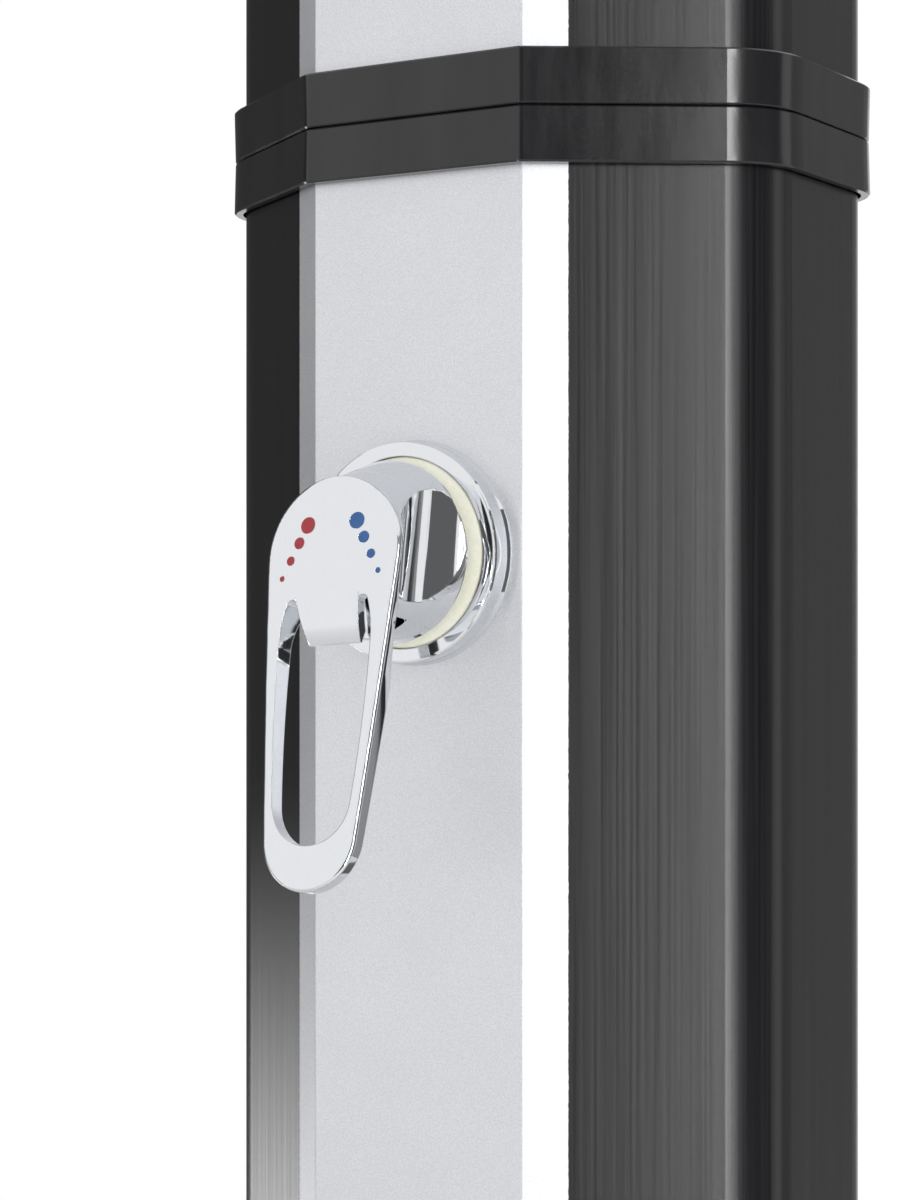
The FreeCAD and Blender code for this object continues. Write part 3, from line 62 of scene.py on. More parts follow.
# %% Places on the post
lower_low, lower_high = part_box("lower_tank")
flange_low, flange_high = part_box("mixer_flange")
FRONT = lower_low.y
HALF_DEPTH = lower_high.y
MIXER_Z = (flange_low.z + flange_high.z) / 2
FRONT_FACE_WIDTH = 0.066      # flat face between the two front corners
FACET_TURN = math.radians(34.1)   # each slanted facet, from the front face
print("front", round(FRONT, 4), "mixer", round(MIXER_Z, 4))


# %% [markdown]
# Node trees are written with one small helper. It adds a node, sets its plain properties, and then
# fills its inputs, each with a value or with another node's output.

# %% A helper for node trees
def put(tree, kind, inputs=None, **settings):
    """Adds a node to a tree and fills its inputs with values or with other nodes' outputs."""
    made = tree.nodes.new(kind)
    for name, value in settings.items():
        setattr(made, name, value)
    for name, value in (inputs or {}).items():
        socket = made.inputs[name]
        if isinstance(value, bpy.types.NodeSocket):
            tree.links.new(value, socket)
        else:
            socket.default_value = value
    return made


def shown(red, green, blue):
    """A colour as it should look on screen (0 to 255), as the linear colour a shader wants."""
    linear = []
    for level in (red, green, blue):
        share = level / 255
        linear.append(share / 12.92 if share <= 0.04045 else ((share + 0.055) / 1.055) ** 2.4)
    return (*linear, 1.0)


# %% [markdown]
# Most finishes here are one shader with three small irregularities: its colour is a little cloudy,
# its gloss is a little uneven, and its surface is not quite flat. A noise texture on the object's
# own coordinates drives each of them, so the pattern stays on the piece when the piece moves.

# %% Building blocks of a finish
def new_finish(name):
    """A material with an empty tree, its principled shader and the object's own coordinates."""
    material = bpy.data.materials.new(name)
    material.use_nodes = True
    tree = material.node_tree
    tree.nodes.clear()
    shader = put(tree, "ShaderNodeBsdfPrincipled")
    put(tree, "ShaderNodeOutputMaterial", {"Surface": shader.outputs["BSDF"]})
    where = put(tree, "ShaderNodeTexCoord").outputs["Object"]
    return material, tree, shader, where


def noise(tree, where, scale, detail=4.0, roughness=0.55, stretch=(1, 1, 1)):
    """Noise between 0 and 1; stretch below 1 draws it out along that axis."""
    mapped = put(tree, "ShaderNodeMapping", {"Vector": where, "Scale": stretch})
    cloud = put(tree, "ShaderNodeTexNoise", {
        "Vector": mapped.outputs["Vector"], "Scale": scale, "Detail": detail, "Roughness": roughness})
    return cloud.outputs["Fac"]


def spread(tree, value, low, high, start=0.3, end=0.7):
    """Stretches a noise value from its usual middle range to the range low to high."""
    fitted = put(tree, "ShaderNodeMapRange", {
        "Value": value, "From Min": start, "From Max": end, "To Min": low, "To Max": high})
    return fitted.outputs["Result"]


def blend_colour(tree, share, first, second, mode="MIX"):
    """Mixes two colours by a share between 0 and 1."""
    mixed = put(tree, "ShaderNodeMix", data_type="RGBA", blend_type=mode)
    for index, value in ((0, share), (6, first), (7, second)):
        if isinstance(value, bpy.types.NodeSocket):
            tree.links.new(value, mixed.inputs[index])
        else:
            mixed.inputs[index].default_value = value
    return mixed.outputs[2]


def sums(tree, operation, first, second=0.0):
    """One arithmetic step between two numbers."""
    return put(tree, "ShaderNodeMath", {0: first, 1: second}, operation=operation).outputs[0]


def relief(tree, shader, height, depth, strength=1.0, under=None):
    """Bumps the surface by a height pattern; depth is the height of a full step, in metres."""
    inputs = {"Height": height, "Distance": depth, "Strength": strength}
    if under is not None:
        inputs["Normal"] = under
    bumped = put(tree, "ShaderNodeBump", inputs).outputs["Normal"]
    tree.links.new(bumped, shader.inputs["Normal"])
    return bumped


def simple_finish(name, light, dark, gloss, grain, depth, stretch=(1, 1, 1), **fixed):
    """A finish that is cloudy between two colours and uneven between two roughnesses."""
    material, tree, shader, where = new_finish(name)
    cloud = noise(tree, where, grain / 6, stretch=stretch)
    fine = noise(tree, where, grain, 2.0, stretch=stretch)
    colour = blend_colour(tree, spread(tree, cloud, 0, 1), dark, light)
    tree.links.new(colour, shader.inputs["Base Color"])
    tree.links.new(spread(tree, fine, gloss[0], gloss[1]), shader.inputs["Roughness"])
    relief(tree, shader, fine, depth)
    for socket, value in fixed.items():
        shader.inputs[socket.replace("_", " ")].default_value = value
    return material


# %% [markdown]
# The tanks are extruded in dark PVC. The extruder leaves fine draw lines along the column, and the
# hot skin was brushed before painting, so its gloss is drawn out sideways. The front is then sprayed
# silver between two masking tapes, a little way round both front corners. One material does both: a
# mask made from the object's own X and Y tells lacquer from bare PVC, with a slightly ragged edge.

# %% Tank skin
LACQUER_LAP = 0.0124          # lacquer along each slanted facet, past the front corner
EDGE_WANDER = 0.00010         # how far the paint's edge strays


def tank_skin():
    """Dark brushed PVC with a silver lacquered front."""
    material, tree, shader, where = new_finish("tank_skin")
    axes = put(tree, "ShaderNodeSeparateXYZ", {"Vector": where})
    wander = spread(tree, noise(tree, where, 700, 4, 0.7), -EDGE_WANDER, EDGE_WANDER)
    reach = FRONT_FACE_WIDTH / 2 + LACQUER_LAP * math.cos(FACET_TURN)
    across = sums(tree, "ADD", sums(tree, "ABSOLUTE", axes.outputs["X"]), wander)
    edge = put(tree, "ShaderNodeMapRange", {
        "Value": across, "From Min": reach - 0.00008, "From Max": reach + 0.00008,
        "To Min": 1.0, "To Max": 0.0})
    in_front = sums(tree, "LESS_THAN", axes.outputs["Y"], FRONT / 2)
    painted = sums(tree, "MULTIPLY", edge.outputs["Result"], in_front)

    lines = noise(tree, where, 900, 4.0, 0.7, stretch=(1, 1, 0.005))
    broad = noise(tree, where, 60, 3.0, 0.6, stretch=(1, 1, 0.03))
    bare = blend_colour(tree, spread(tree, lines, 0, 1), shown(8, 8, 10), shown(30, 30, 33))
    flakes = noise(tree, where, 2600, 2.0, 0.7)
    clouds = noise(tree, where, 34, 3.0)
    silver = blend_colour(tree, spread(tree, flakes, 0, 1), shown(205, 206, 210), shown(232, 233, 236))
    silver = blend_colour(tree, spread(tree, clouds, 0.0, 0.10), silver, shown(190, 192, 197))
    colour = blend_colour(tree, painted, bare, silver)
    tree.links.new(colour, shader.inputs["Base Color"])

    bare_gloss = spread(tree, sums(tree, "ADD", sums(tree, "MULTIPLY", lines, 0.85),
                                   sums(tree, "MULTIPLY", broad, 0.15)), 0.16, 0.25)
    paint_gloss = spread(tree, flakes, 0.40, 0.48)
    gloss = put(tree, "ShaderNodeMix", {0: painted, 2: bare_gloss, 3: paint_gloss})
    tree.links.new(gloss.outputs[0], shader.inputs["Roughness"])
    tree.links.new(sums(tree, "MULTIPLY", painted, 0.80), shader.inputs["Metallic"])
    height = put(tree, "ShaderNodeMix", {0: painted, 2: lines, 3: flakes})
    relief(tree, shader, height.outputs[0], 0.00002, 0.6)
    shader.inputs["Anisotropic"].default_value = 0.5
    facing = put(tree, "ShaderNodeNewGeometry").outputs["Normal"]
    sideways = put(tree, "ShaderNodeVectorMath", {0: facing, 1: (0, 0, 1)}, operation="CROSS_PRODUCT")
    tree.links.new(sideways.outputs["Vector"], shader.inputs["Tangent"])
    return material


tank = tank_skin()
lacquer_edge = FRONT_FACE_WIDTH / 2 + LACQUER_LAP * math.cos(FACET_TURN)
print("lacquer reaches", round(lacquer_edge, 4), "m from the middle")

# %% [markdown]
# The end caps and the collar are moulded from a charcoal plastic with a satin sheen. Handling leaves
# faint upright rub marks, which show where a lamp glances off them.

# %% Satin mouldings
def satin_cap():
    """Charcoal moulding with faint rub marks."""
    material, tree, shader, where = new_finish("satin_cap")
    rubs = noise(tree, where, 90, 4, 0.65, stretch=(1, 1, 0.15))
    grain = noise(tree, where, 1500, 2)
    colour = blend_colour(tree, spread(tree, rubs, 0, 1), shown(24, 24, 26), shown(34, 34, 36))
    tree.links.new(colour, shader.inputs["Base Color"])
    gloss = sums(tree, "ADD", spread(tree, rubs, 0.13, 0.20), spread(tree, grain, -0.015, 0.015))
    tree.links.new(gloss, shader.inputs["Roughness"])
    relief(tree, shader, grain, 0.000008, 0.5)
    return material


satin = satin_cap()
black_moulding = simple_finish("black_moulding", shown(48, 48, 49), shown(38, 38, 39), (0.42, 0.56),
                               1400, 0.00003)
white_moulding = simple_finish("white_moulding", shown(238, 238, 233), shown(228, 228, 222),
                               (0.28, 0.38), 500, 0.00001)
ivory = simple_finish("ivory_ring", shown(255, 255, 240), shown(255, 254, 235), (0.22, 0.32),
                      700, 0.000008)
print("plastics ready")

# %% [markdown]
# Plated brass mirrors the room. A plater's bath never leaves it quite flat, so the reflection swims
# a little, and wiping leaves hairlines that only blur it.

# %% Chrome
EDGE_ROLL = 0.00045           # how far the plating rounds a sharp edge off


def plated_chrome():
    """Bright plating with a faint swim, wiping hairlines and edges rolled by polishing."""
    material, tree, shader, where = new_finish("plated_chrome")
    swim = noise(tree, where, 45, 2, 0.4)
    wipes = noise(tree, where, 1800, 3, 0.6, stretch=(1, 0.25, 0.25))
    shader.inputs["Metallic"].default_value = 1.0
    colour = blend_colour(tree, spread(tree, wipes, 0, 1), shown(226, 228, 231), shown(228, 230, 233))
    tree.links.new(colour, shader.inputs["Base Color"])
    tree.links.new(spread(tree, wipes, 0.035, 0.055), shader.inputs["Roughness"])
    rolled = put(tree, "ShaderNodeBevel", {"Radius": EDGE_ROLL}, samples=6).outputs["Normal"]
    relief(tree, shader, swim, 0.00002, 0.25, under=rolled)
    return material


chrome = plated_chrome()

# %% [markdown]
# Inside the post are turned brass, steel, rubber, ceramic and a few more plastics. They are seldom
# seen, but they are finished too: the part can be opened. Turned metal gets rings drawn out round
# its axis, rubber a dull bloom, and the ceramic discs are lapped almost to a mirror.

# %% The other finishes
raw_brass = simple_finish("raw_brass", shown(222, 194, 132), shown(196, 166, 104), (0.22, 0.36),
                          900, 0.00001, stretch=(1, 0.1, 1), Metallic=1.0)
stainless = simple_finish("stainless", shown(208, 208, 206), shown(188, 188, 187), (0.22, 0.34),
                          1200, 0.00001, stretch=(0.1, 1, 1), Metallic=1.0)
black_rubber = simple_finish("black_rubber", shown(40, 40, 40), shown(30, 30, 30), (0.62, 0.78),
                             1100, 0.00003)
nozzle_rubber = simple_finish("nozzle_rubber", shown(150, 152, 155), shown(138, 140, 143),
                              (0.5, 0.62), 1100, 0.00002)
face_silver = simple_finish("face_silver", shown(205, 207, 210), shown(194, 196, 200), (0.26, 0.34),
                            800, 0.000008, Metallic=0.35)
ceramic = simple_finish("lapped_ceramic", shown(246, 246, 242), shown(238, 238, 233), (0.06, 0.12),
                        900, 0.000003)
red_enamel = simple_finish("red_enamel", shown(158, 42, 52), shown(144, 34, 44), (0.22, 0.3),
                           1500, 0.000005)
blue_enamel = simple_finish("blue_enamel", shown(44, 90, 146), shown(36, 80, 136), (0.22, 0.3),
                            1500, 0.000005)
print(len(bpy.data.materials), "materials in the file")

# %% [markdown]
# The record names one material slot per node. This table turns each slot's name into a finish made
# above, and the loop gives every node its own.

# %% Dressing the nodes
FINISHES = {
    "tank_pvc": tank, "cap_plastic": satin, "black_plastic": black_moulding,
    "white_plastic": white_moulding, "ivory_plastic": ivory, "face_plastic": face_silver,
    "nozzle_rubber": nozzle_rubber, "black_rubber": black_rubber, "ceramic": ceramic,
    "chrome": chrome, "stainless": stainless, "raw_brass": raw_brass,
    "red_enamel": red_enamel, "blue_enamel": blue_enamel,
}
slot_of = {part["node"]: part["material_slot"] for part in frame["record"]["subparts"]}
for name, node in nodes.items():
    node.data.materials.clear()
    node.data.materials.append(FINISHES[slot_of[name]])
print(len(nodes), "nodes dressed")

# %% [markdown]
# The lever is the piece the eye rests on, and plating hides nothing: a shading error of half a
# degree bends the reflection. So the lever is shown by a welded copy of its mesh. Its crowned face
# is part of a cylinder, so the true normal of every corner there can be worked out instead of guessed
# from the triangles.

# %% The lever's own frame
LEVER_TURN = math.radians(4.3)
PLATE_TILT = math.radians(14.0)
PLATE_HEIGHT = 0.0407         # plate face out of the front face, on the mixer axis
CROWN_RADIUS = 0.150
ON_CROWN = 3e-5               # a point this near the crown's cylinder lies on it

to_front = Matrix.Translation((0, FRONT, MIXER_Z)) @ Matrix.Rotation(math.radians(90), 4, "X")
on_plate = (to_front @ Matrix.Rotation(LEVER_TURN, 4, "Z") @ Matrix.Translation((0, 0, PLATE_HEIGHT))
            @ Matrix.Rotation(-PLATE_TILT, 4, "X"))
print("plate centre", [round(value, 4) for value in on_plate.translation])


# %% A welded copy with true normals
def weld(mesh, reach=2e-6):
    """Joins points that lie in one place and drops faces that have no area."""
    work = bmesh.new()
    work.from_mesh(mesh)
    bmesh.ops.remove_doubles(work, verts=work.verts, dist=reach)
    bmesh.ops.dissolve_degenerate(work, edges=work.edges, dist=reach)
    bmesh.ops.recalc_face_normals(work, faces=work.faces)
    work.to_mesh(mesh)
    work.free()


def welded_copy(node, name):
    """A copy of a CAD node with its loose triangles joined."""
    mesh = nodes[node].data.copy()
    mesh.name = name
    if "custom_normal" in mesh.attributes:
        mesh.attributes.remove(mesh.attributes["custom_normal"])
    piece = bpy.data.objects.new(name, mesh)
    bpy.context.scene.collection.objects.link(piece)
    weld(mesh)
    return piece


def even_normals(piece, sharp):
    """Smooths the shading up to an angle, weighted so that large faces stay flat."""
    piece.data.shade_smooth()
    piece.data.set_sharp_from_angle(angle=sharp)
    weighted = piece.modifiers.new("even_normals", "WEIGHTED_NORMAL")
    weighted.keep_sharp = True
    seen = piece.evaluated_get(bpy.context.evaluated_depsgraph_get())
    piece.data = bpy.data.meshes.new_from_object(seen)
    piece.modifiers.clear()


def crown_normals(mesh):
    """Gives each corner on the crowned face the normal of the cylinder it lies on."""
    back = on_plate.inverted()
    turn = on_plate.to_3x3()
    normals = [Vector(corner.vector) for corner in mesh.corner_normals]
    found = 0
    for polygon in mesh.polygons:
        local = [back @ mesh.vertices[mesh.loops[i].vertex_index].co for i in polygon.loop_indices]
        off = [abs(math.hypot(point.x, point.z + CROWN_RADIUS) - CROWN_RADIUS) for point in local]
        if max(off) > ON_CROWN:
            continue
        for i, point in zip(polygon.loop_indices, local):
            normals[i] = (turn @ Vector((point.x, 0, point.z + CROWN_RADIUS))).normalized()
            found += 1
    mesh.normals_split_custom_set(normals)
    return found


# %% [markdown]
# Each side of the lever's cap is hollowed by a flute that makes it sweep into the plate. In the CAD
# model that flute was cut a little too deep and breaks through the wall. The real lever has no hole
# there, so the shown lever gets a filling piece on each side that brings the flute back to a depth
# the wall can bear: the cap's own flank, kept only where the deep flute was, less a shallower flute
# and less the hollow inside. Both circles of the flank are known, so it is a simple ruled solid. The
# cut behind the tongue opened the flank too, and a third filling closes it all round below the plate.

# %% The cap made whole again
RIM_CIRCLE = (0.02440, 0.0135)        # radius, and distance from the front face
NECK_CIRCLE = (0.02058, -0.0002, -0.0028)   # radius, and centre on the plate
TINY = 0.000050                       # fillings stay this far under the CAD surface
DEEP_FLUTE = (0.01555, -0.0140)       # radius, and axis behind the plate's face
SAFE_FLUTE = (0.0180, -0.0120)
DEEP_ACROSS = 0.0310                  # axis across from the middle of the plate
SAFE_ACROSS = 0.0350
LIP_CIRCLE = (0.02280, 0.01165)
CAP_CLOSED_TO = 0.0259                # the flank is whole up to here, behind tongue and slits
STEM_CORE = 0.0074                    # what the stem's boss fills in the middle
CAVITY = ((0.02062, 0.0080), (0.02062, 0.0141), (0.01262, 0.02302))
on_lever = to_front @ Matrix.Rotation(LEVER_TURN, 4, "Z")


def ring_solid(name, rings):
    """A closed solid through rings of equally many points, flat at both ends."""
    count = len(rings[0])
    points = [point for ring in rings for point in ring]
    faces = [tuple(reversed(range(count))), tuple(range(len(points) - count, len(points)))]
    for level in range(len(rings) - 1):
        for i in range(count):
            j = (i + 1) % count
            low = level * count
            faces.append((low + i, low + j, low + count + j, low + count + i))
    mesh = bpy.data.meshes.new(name)
    mesh.from_pydata(points, [], faces)
    work = bmesh.new()
    work.from_mesh(mesh)
    bmesh.ops.recalc_face_normals(work, faces=work.faces)
    work.to_mesh(mesh)
    work.free()
    solid = bpy.data.objects.new(name, mesh)
    bpy.context.scene.collection.objects.link(solid)
    return solid


def circle(place, radius, centre, count=128):
    """Points of a circle that lies flat in its own frame, put in place by a matrix."""
    return [place @ (Vector(centre) + Vector((radius * math.cos(math.tau * i / count),
                                              radius * math.sin(math.tau * i / count), 0)))
            for i in range(count)]


def flute(name, side, size, across):
    """A cylinder down the plate's side; it lies along the plate, so it is turned onto that axis."""
    along = on_plate @ Matrix.Translation((side * across, 0, size[1])) @ Matrix.Rotation(
        math.radians(90), 4, "X")
    return ring_solid(name, [circle(along, size[0], (0, 0, level)) for level in (-0.06, 0.06)])


def combine(solid, steps):
    """Applies one boolean after another and removes the tools."""
    for tool, operation in steps:
        step = solid.modifiers.new(tool.name, "BOOLEAN")
        step.object, step.operation, step.solver = tool, operation, "EXACT"
    seen = solid.evaluated_get(bpy.context.evaluated_depsgraph_get())
    solid.data = bpy.data.meshes.new_from_object(seen)
    solid.modifiers.clear()
    for tool, operation in steps:
        bpy.data.objects.remove(tool)
    return solid


def cap_flank():
    """The cap's outside as a solid, from its lip to the circle under the plate."""
    return ring_solid("flank", [
        circle(on_lever, LIP_CIRCLE[0], (0, 0, LIP_CIRCLE[1])),
        circle(on_lever, RIM_CIRCLE[0] - TINY, (0, 0, RIM_CIRCLE[1])),
        circle(on_plate, NECK_CIRCLE[0] - TINY, (0, *NECK_CIRCLE[1:]))])


def cap_hollow():
    """The hollow that takes the cartridge."""
    return ring_solid("hollow", [circle(on_lever, radius, (0, 0, level)) for radius, level in CAVITY])


def upright(name, radius, low, high):
    """A cylinder on the mixer's axis."""
    return ring_solid(name, [circle(on_lever, radius, (0, 0, level)) for level in (low, high)])


def side_filling(side):
    """What lies between the deep flute and the safe one, within the cap's wall."""
    return combine(cap_flank(), [(flute("deep", side, DEEP_FLUTE, DEEP_ACROSS), "INTERSECT"),
                                 (flute("safe", side, SAFE_FLUTE, SAFE_ACROSS), "DIFFERENCE"),
                                 (cap_hollow(), "DIFFERENCE")])


def lower_filling():
    """The cap's flank all round below the plate, which closes it behind the tongue and the slits."""
    return combine(cap_flank(), [(upright("level", 0.03, 0.005, CAP_CLOSED_TO), "INTERSECT"),
                                 (flute("safe_left", -1, SAFE_FLUTE, SAFE_ACROSS), "DIFFERENCE"),
                                 (flute("safe_right", 1, SAFE_FLUTE, SAFE_ACROSS), "DIFFERENCE"),
                                 (cap_hollow(), "DIFFERENCE"),
                                 (upright("core", STEM_CORE, 0.005, 0.03), "DIFFERENCE")])


def volume(mesh):
    """Volume of a closed mesh, in cubic millimetres."""
    work = bmesh.new()
    work.from_mesh(mesh)
    inside = work.calc_volume()
    work.free()
    return inside * 1e9


def through_openings(mesh):
    """Open edges, and how many openings go right through a closed mesh."""
    work = bmesh.new()
    work.from_mesh(mesh)
    open_edges = sum(1 for edge in work.edges if not edge.is_manifold)
    bends = len(work.verts) - len(work.edges) + len(work.faces)
    work.free()
    return open_edges, 1 - bends / 2


lever = welded_copy("lever_handle", "lever_plated")
print("before the fillings, open edges and openings:", through_openings(lever.data))
print("volume before, mm3:", round(volume(lever.data)))
combine(lever, [(side_filling(side), "UNION") for side in (-1, 1)])
print("with the flutes brought back:", round(volume(lever.data)))
combine(lever, [(lower_filling(), "UNION")])
print("with the flank closed:", round(volume(lever.data)))
print("after the fillings, open edges and openings:", through_openings(lever.data))
lever.data.materials.clear()
lever.data.materials.append(chrome)
even_normals(lever, math.radians(42))
print("lever corners on the crown:", crown_normals(lever.data))
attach(lever, "lever")
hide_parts("lever_handle")

# %% [markdown]
# What repeats is grown by rule with Geometry Nodes: the nozzles' mouths, the inlet's thread and the
# screws at the foot. Each rule has named sizes, its result is kept as a plain mesh, and it is then
# laid in its place in the frame.

# %% Growing a piece by a rule
def grow(name, sizes, build, material, place):
    """Runs a geometry tree with named sizes once and keeps what it makes as a plain mesh."""
    tree = bpy.data.node_groups.new(name + "_rule", "GeometryNodeTree")
    tree.interface.new_socket("Geometry", in_out="OUTPUT", socket_type="NodeSocketGeometry")
    keys = {}
    for label, value in sizes.items():
        kind = "NodeSocketInt" if isinstance(value, int) else "NodeSocketFloat"
        keys[label] = tree.interface.new_socket(label, in_out="INPUT", socket_type=kind).identifier
    given = tree.nodes.new("NodeGroupInput").outputs
    result = tree.nodes.new("NodeGroupOutput")
    real = put(tree, "GeometryNodeRealizeInstances", {"Geometry": build(tree, given)})
    dressed = put(tree, "GeometryNodeSetMaterial", {"Geometry": real.outputs[0]})
    dressed.inputs["Material"].default_value = material
    tree.links.new(dressed.outputs[0], result.inputs["Geometry"])
    piece = bpy.data.objects.new(name, bpy.data.meshes.new(name))
    bpy.context.scene.collection.objects.link(piece)
    rule = piece.modifiers.new("rule", "NODES")
    rule.node_group = tree
    for label, value in sizes.items():
        rule[keys[label]] = value
    seen = piece.evaluated_get(bpy.context.evaluated_depsgraph_get())
    piece.data = bpy.data.meshes.new_from_object(seen)
    piece.modifiers.clear()
    piece.data.transform(place)
    piece.data.shade_smooth()
    piece.data.set_sharp_from_angle(angle=math.radians(35))
    return piece


# %% [markdown]
# The rubber nozzles stand in three rings on the head's face. Each is moulded with a small raised lip
# round its mouth, so that scale rubs off with a thumb.

# %% Lips of the nozzles
NOZZLE_RINGS = ((0.0, 1), (0.024, 6), (0.050, 12))
HEAD_TILT = math.radians(38)
BALL_CENTRE = (0, -0.155189, 2.033001)
NOZZLE_TIP = -0.0368          # along the head's axis, from the ball's centre
LIP_SINK = 0.0002             # how far the lip's middle lies inside the tip
on_head = Matrix.Translation(BALL_CENTRE) @ Matrix.Rotation(-HEAD_TILT, 4, "X")


def nozzle_lips(tree, given):
    """A small lip on every point of the three rings."""
    around = put(tree, "GeometryNodeCurvePrimitiveCircle", {"Resolution": 16, "Radius": given["Lip Radius"]})
    section = put(tree, "GeometryNodeCurvePrimitiveCircle", {
        "Resolution": 6, "Radius": given["Lip Thickness"]})
    lip = put(tree, "GeometryNodeCurveToMesh", {
        "Curve": around.outputs[0], "Profile Curve": section.outputs[0]})
    every = put(tree, "GeometryNodeJoinGeometry")
    for radius, count in NOZZLE_RINGS:
        if count == 1:
            spots = put(tree, "GeometryNodeMeshLine", {"Count": 1}).outputs[0]
        else:
            ring = put(tree, "GeometryNodeMeshCircle", {"Vertices": count, "Radius": radius})
            half_step = (0, 0, math.pi / count)
            spots = put(tree, "GeometryNodeTransform", {0: ring.outputs[0], "Rotation": half_step}).outputs[0]
        tree.links.new(put(tree, "GeometryNodeInstanceOnPoints", {
            "Points": spots, "Instance": lip.outputs[0]}).outputs[0], every.inputs[0])
    return every.outputs[0]


lips = grow("nozzle_lips", {"Lip Radius": 0.00080, "Lip Thickness": 0.00022}, nozzle_lips, nozzle_rubber,
            on_head @ Matrix.Translation((0, 0, NOZZLE_TIP + LIP_SINK)))
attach(lips, "shower_head")

# %% [markdown]
# The water inlet is a threaded brass stub. The thread is one ridge that climbs it like a spiral stair,
# at the pitch of a standard pipe thread.

# %% Thread of the inlet
THREAD_RADIUS = 0.0132
THREAD_PITCH = 0.001814
THREAD_LENGTH = 0.0160
THREAD_BASE = 0.0072          # behind the back face
THREAD_LEAD = 0.0010          # plain end before and after the ridge
INLET_PLACE = (0.0175, HALF_DEPTH + THREAD_BASE + THREAD_LEAD, 0.110)


def thread_ridge(tree, given):
    """A three-sided ridge swept along a spiral."""
    spiral = put(tree, "GeometryNodeCurveSpiral", {
        "Resolution": 32, "Rotations": given["Turns"], "Start Radius": given["Radius"],
        "End Radius": given["Radius"], "Height": given["Length"]})
    section = put(tree, "GeometryNodeCurvePrimitiveCircle", {"Resolution": 3, "Radius": given["Ridge"]})
    ridge = put(tree, "GeometryNodeCurveToMesh", {
        "Curve": spiral.outputs[0], "Profile Curve": section.outputs[0], "Fill Caps": True})
    return ridge.outputs[0]


climb = THREAD_LENGTH - 2 * THREAD_LEAD
thread = grow("inlet_thread", {"Radius": THREAD_RADIUS, "Length": climb, "Ridge": 0.00050,
                               "Turns": climb / THREAD_PITCH}, thread_ridge, raw_brass,
              Matrix.Translation(INLET_PLACE) @ Matrix.Rotation(math.radians(-90), 4, "X"))
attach(thread, "post")
print("thread", len(thread.data.polygons), "faces")

# %% [markdown]
# Four pan-head screws hold the foot to the lower tank. A cross is pressed into each head for the
# driver. The crosses are grown at the four places and then taken out of the CAD screws' heads.

# %% Screws of the foot
screw_low, screw_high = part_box("foot_screws")
HEAD_RADIUS = 0.004
CROSS_DEPTH = 0.0011
SCREW_Y = (screw_low.y + HEAD_RADIUS, screw_high.y - HEAD_RADIUS)
SCREW_Z = (screw_low.z + screw_high.z) / 2


def screw_crosses(tree, given):
    """Two crossed bars at each screw; each bar is deeper than its cut, so it stands out of the head."""
    bars = put(tree, "GeometryNodeJoinGeometry")
    upright = put(tree, "ShaderNodeCombineXYZ", {"X": given["Depth"], "Y": given["Slot"], "Z": given["Span"]})
    level = put(tree, "ShaderNodeCombineXYZ", {"X": given["Depth"], "Y": given["Span"], "Z": given["Slot"]})
    for size in (upright, level):
        bar = put(tree, "GeometryNodeMeshCube", {"Size": size.outputs[0]})
        tree.links.new(bar.outputs[0], bars.inputs[0])
    cross = put(tree, "GeometryNodeMeshBoolean", {"Mesh 2": bars.outputs[0]}, operation="UNION",
                solver="EXACT").outputs[0]
    every = put(tree, "GeometryNodeJoinGeometry")
    for side in (-1, 1):
        for place in SCREW_Y:
            spot = (side * screw_high.x, place, SCREW_Z)
            moved = put(tree, "GeometryNodeTransform", {0: cross, "Translation": spot})
            tree.links.new(moved.outputs[0], every.inputs[0])
    return every.outputs[0]


crosses = grow("screw_crosses", {"Depth": 2 * CROSS_DEPTH, "Slot": 0.0009, "Span": 0.0046}, screw_crosses,
               stainless, Matrix.Identity(4))
screws = welded_copy("foot_screws", "foot_screws_crossed")
combine(screws, [(crosses, "DIFFERENCE")])
weld(screws.data)
screws.data.materials.clear()
screws.data.materials.append(stainless)
even_normals(screws, math.radians(35))
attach(screws, "post")
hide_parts("foot_screws")
print("screws, open edges:", through_openings(screws.data)[0])

# %% [markdown]
# ## The studio
# The post stands on a pale floor in a white room. The lens is long and level, as for a catalogue
# picture, so the column's edges stay upright. It is aimed at the mixer from the front and right.

# %% Camera
CAMERA_PLACE = (0.36703, -0.62485, 0.97365)
CAMERA_AIM = (-0.5303, 0.8478, 0.0)
lens = bpy.data.cameras.new("camera")
lens.sensor_width = 36.0
lens.lens = 75.35
lens.shift_y = -0.01075
lens.clip_start = 0.01
camera = bpy.data.objects.new("camera", lens)
camera.location = CAMERA_PLACE
camera.rotation_euler = Vector(CAMERA_AIM).to_track_quat("-Z", "Y").to_euler()
bpy.context.scene.collection.objects.link(camera)
bpy.context.scene.camera = camera
print("camera at", CAMERA_PLACE)


# %% [markdown]
# The world is white for the camera and for reflections, and a softer grey for what lights the
# surfaces. Lamps add the direction: a tall strip light right of the camera, a wide one from the
# front and left, and one overhead.

# %% World
world = bpy.data.worlds.new("white_room")
bpy.context.scene.world = world
world.use_nodes = True
room = world.node_tree
room.nodes.clear()
rays = put(room, "ShaderNodeLightPath")
seen_or_mirrored = sums(room, "MAXIMUM", rays.outputs["Is Camera Ray"],
                        sums(room, "MAXIMUM", rays.outputs["Is Glossy Ray"],
                             rays.outputs["Is Transmission Ray"]))
ROOM_LIGHT = 0.62
level = sums(room, "MAXIMUM", seen_or_mirrored, ROOM_LIGHT)
white_room = put(room, "ShaderNodeBackground", {"Color": (1, 1, 1, 1), "Strength": level})
put(room, "ShaderNodeOutputWorld", {"Surface": white_room.outputs["Background"]})
print("room light", ROOM_LIGHT)


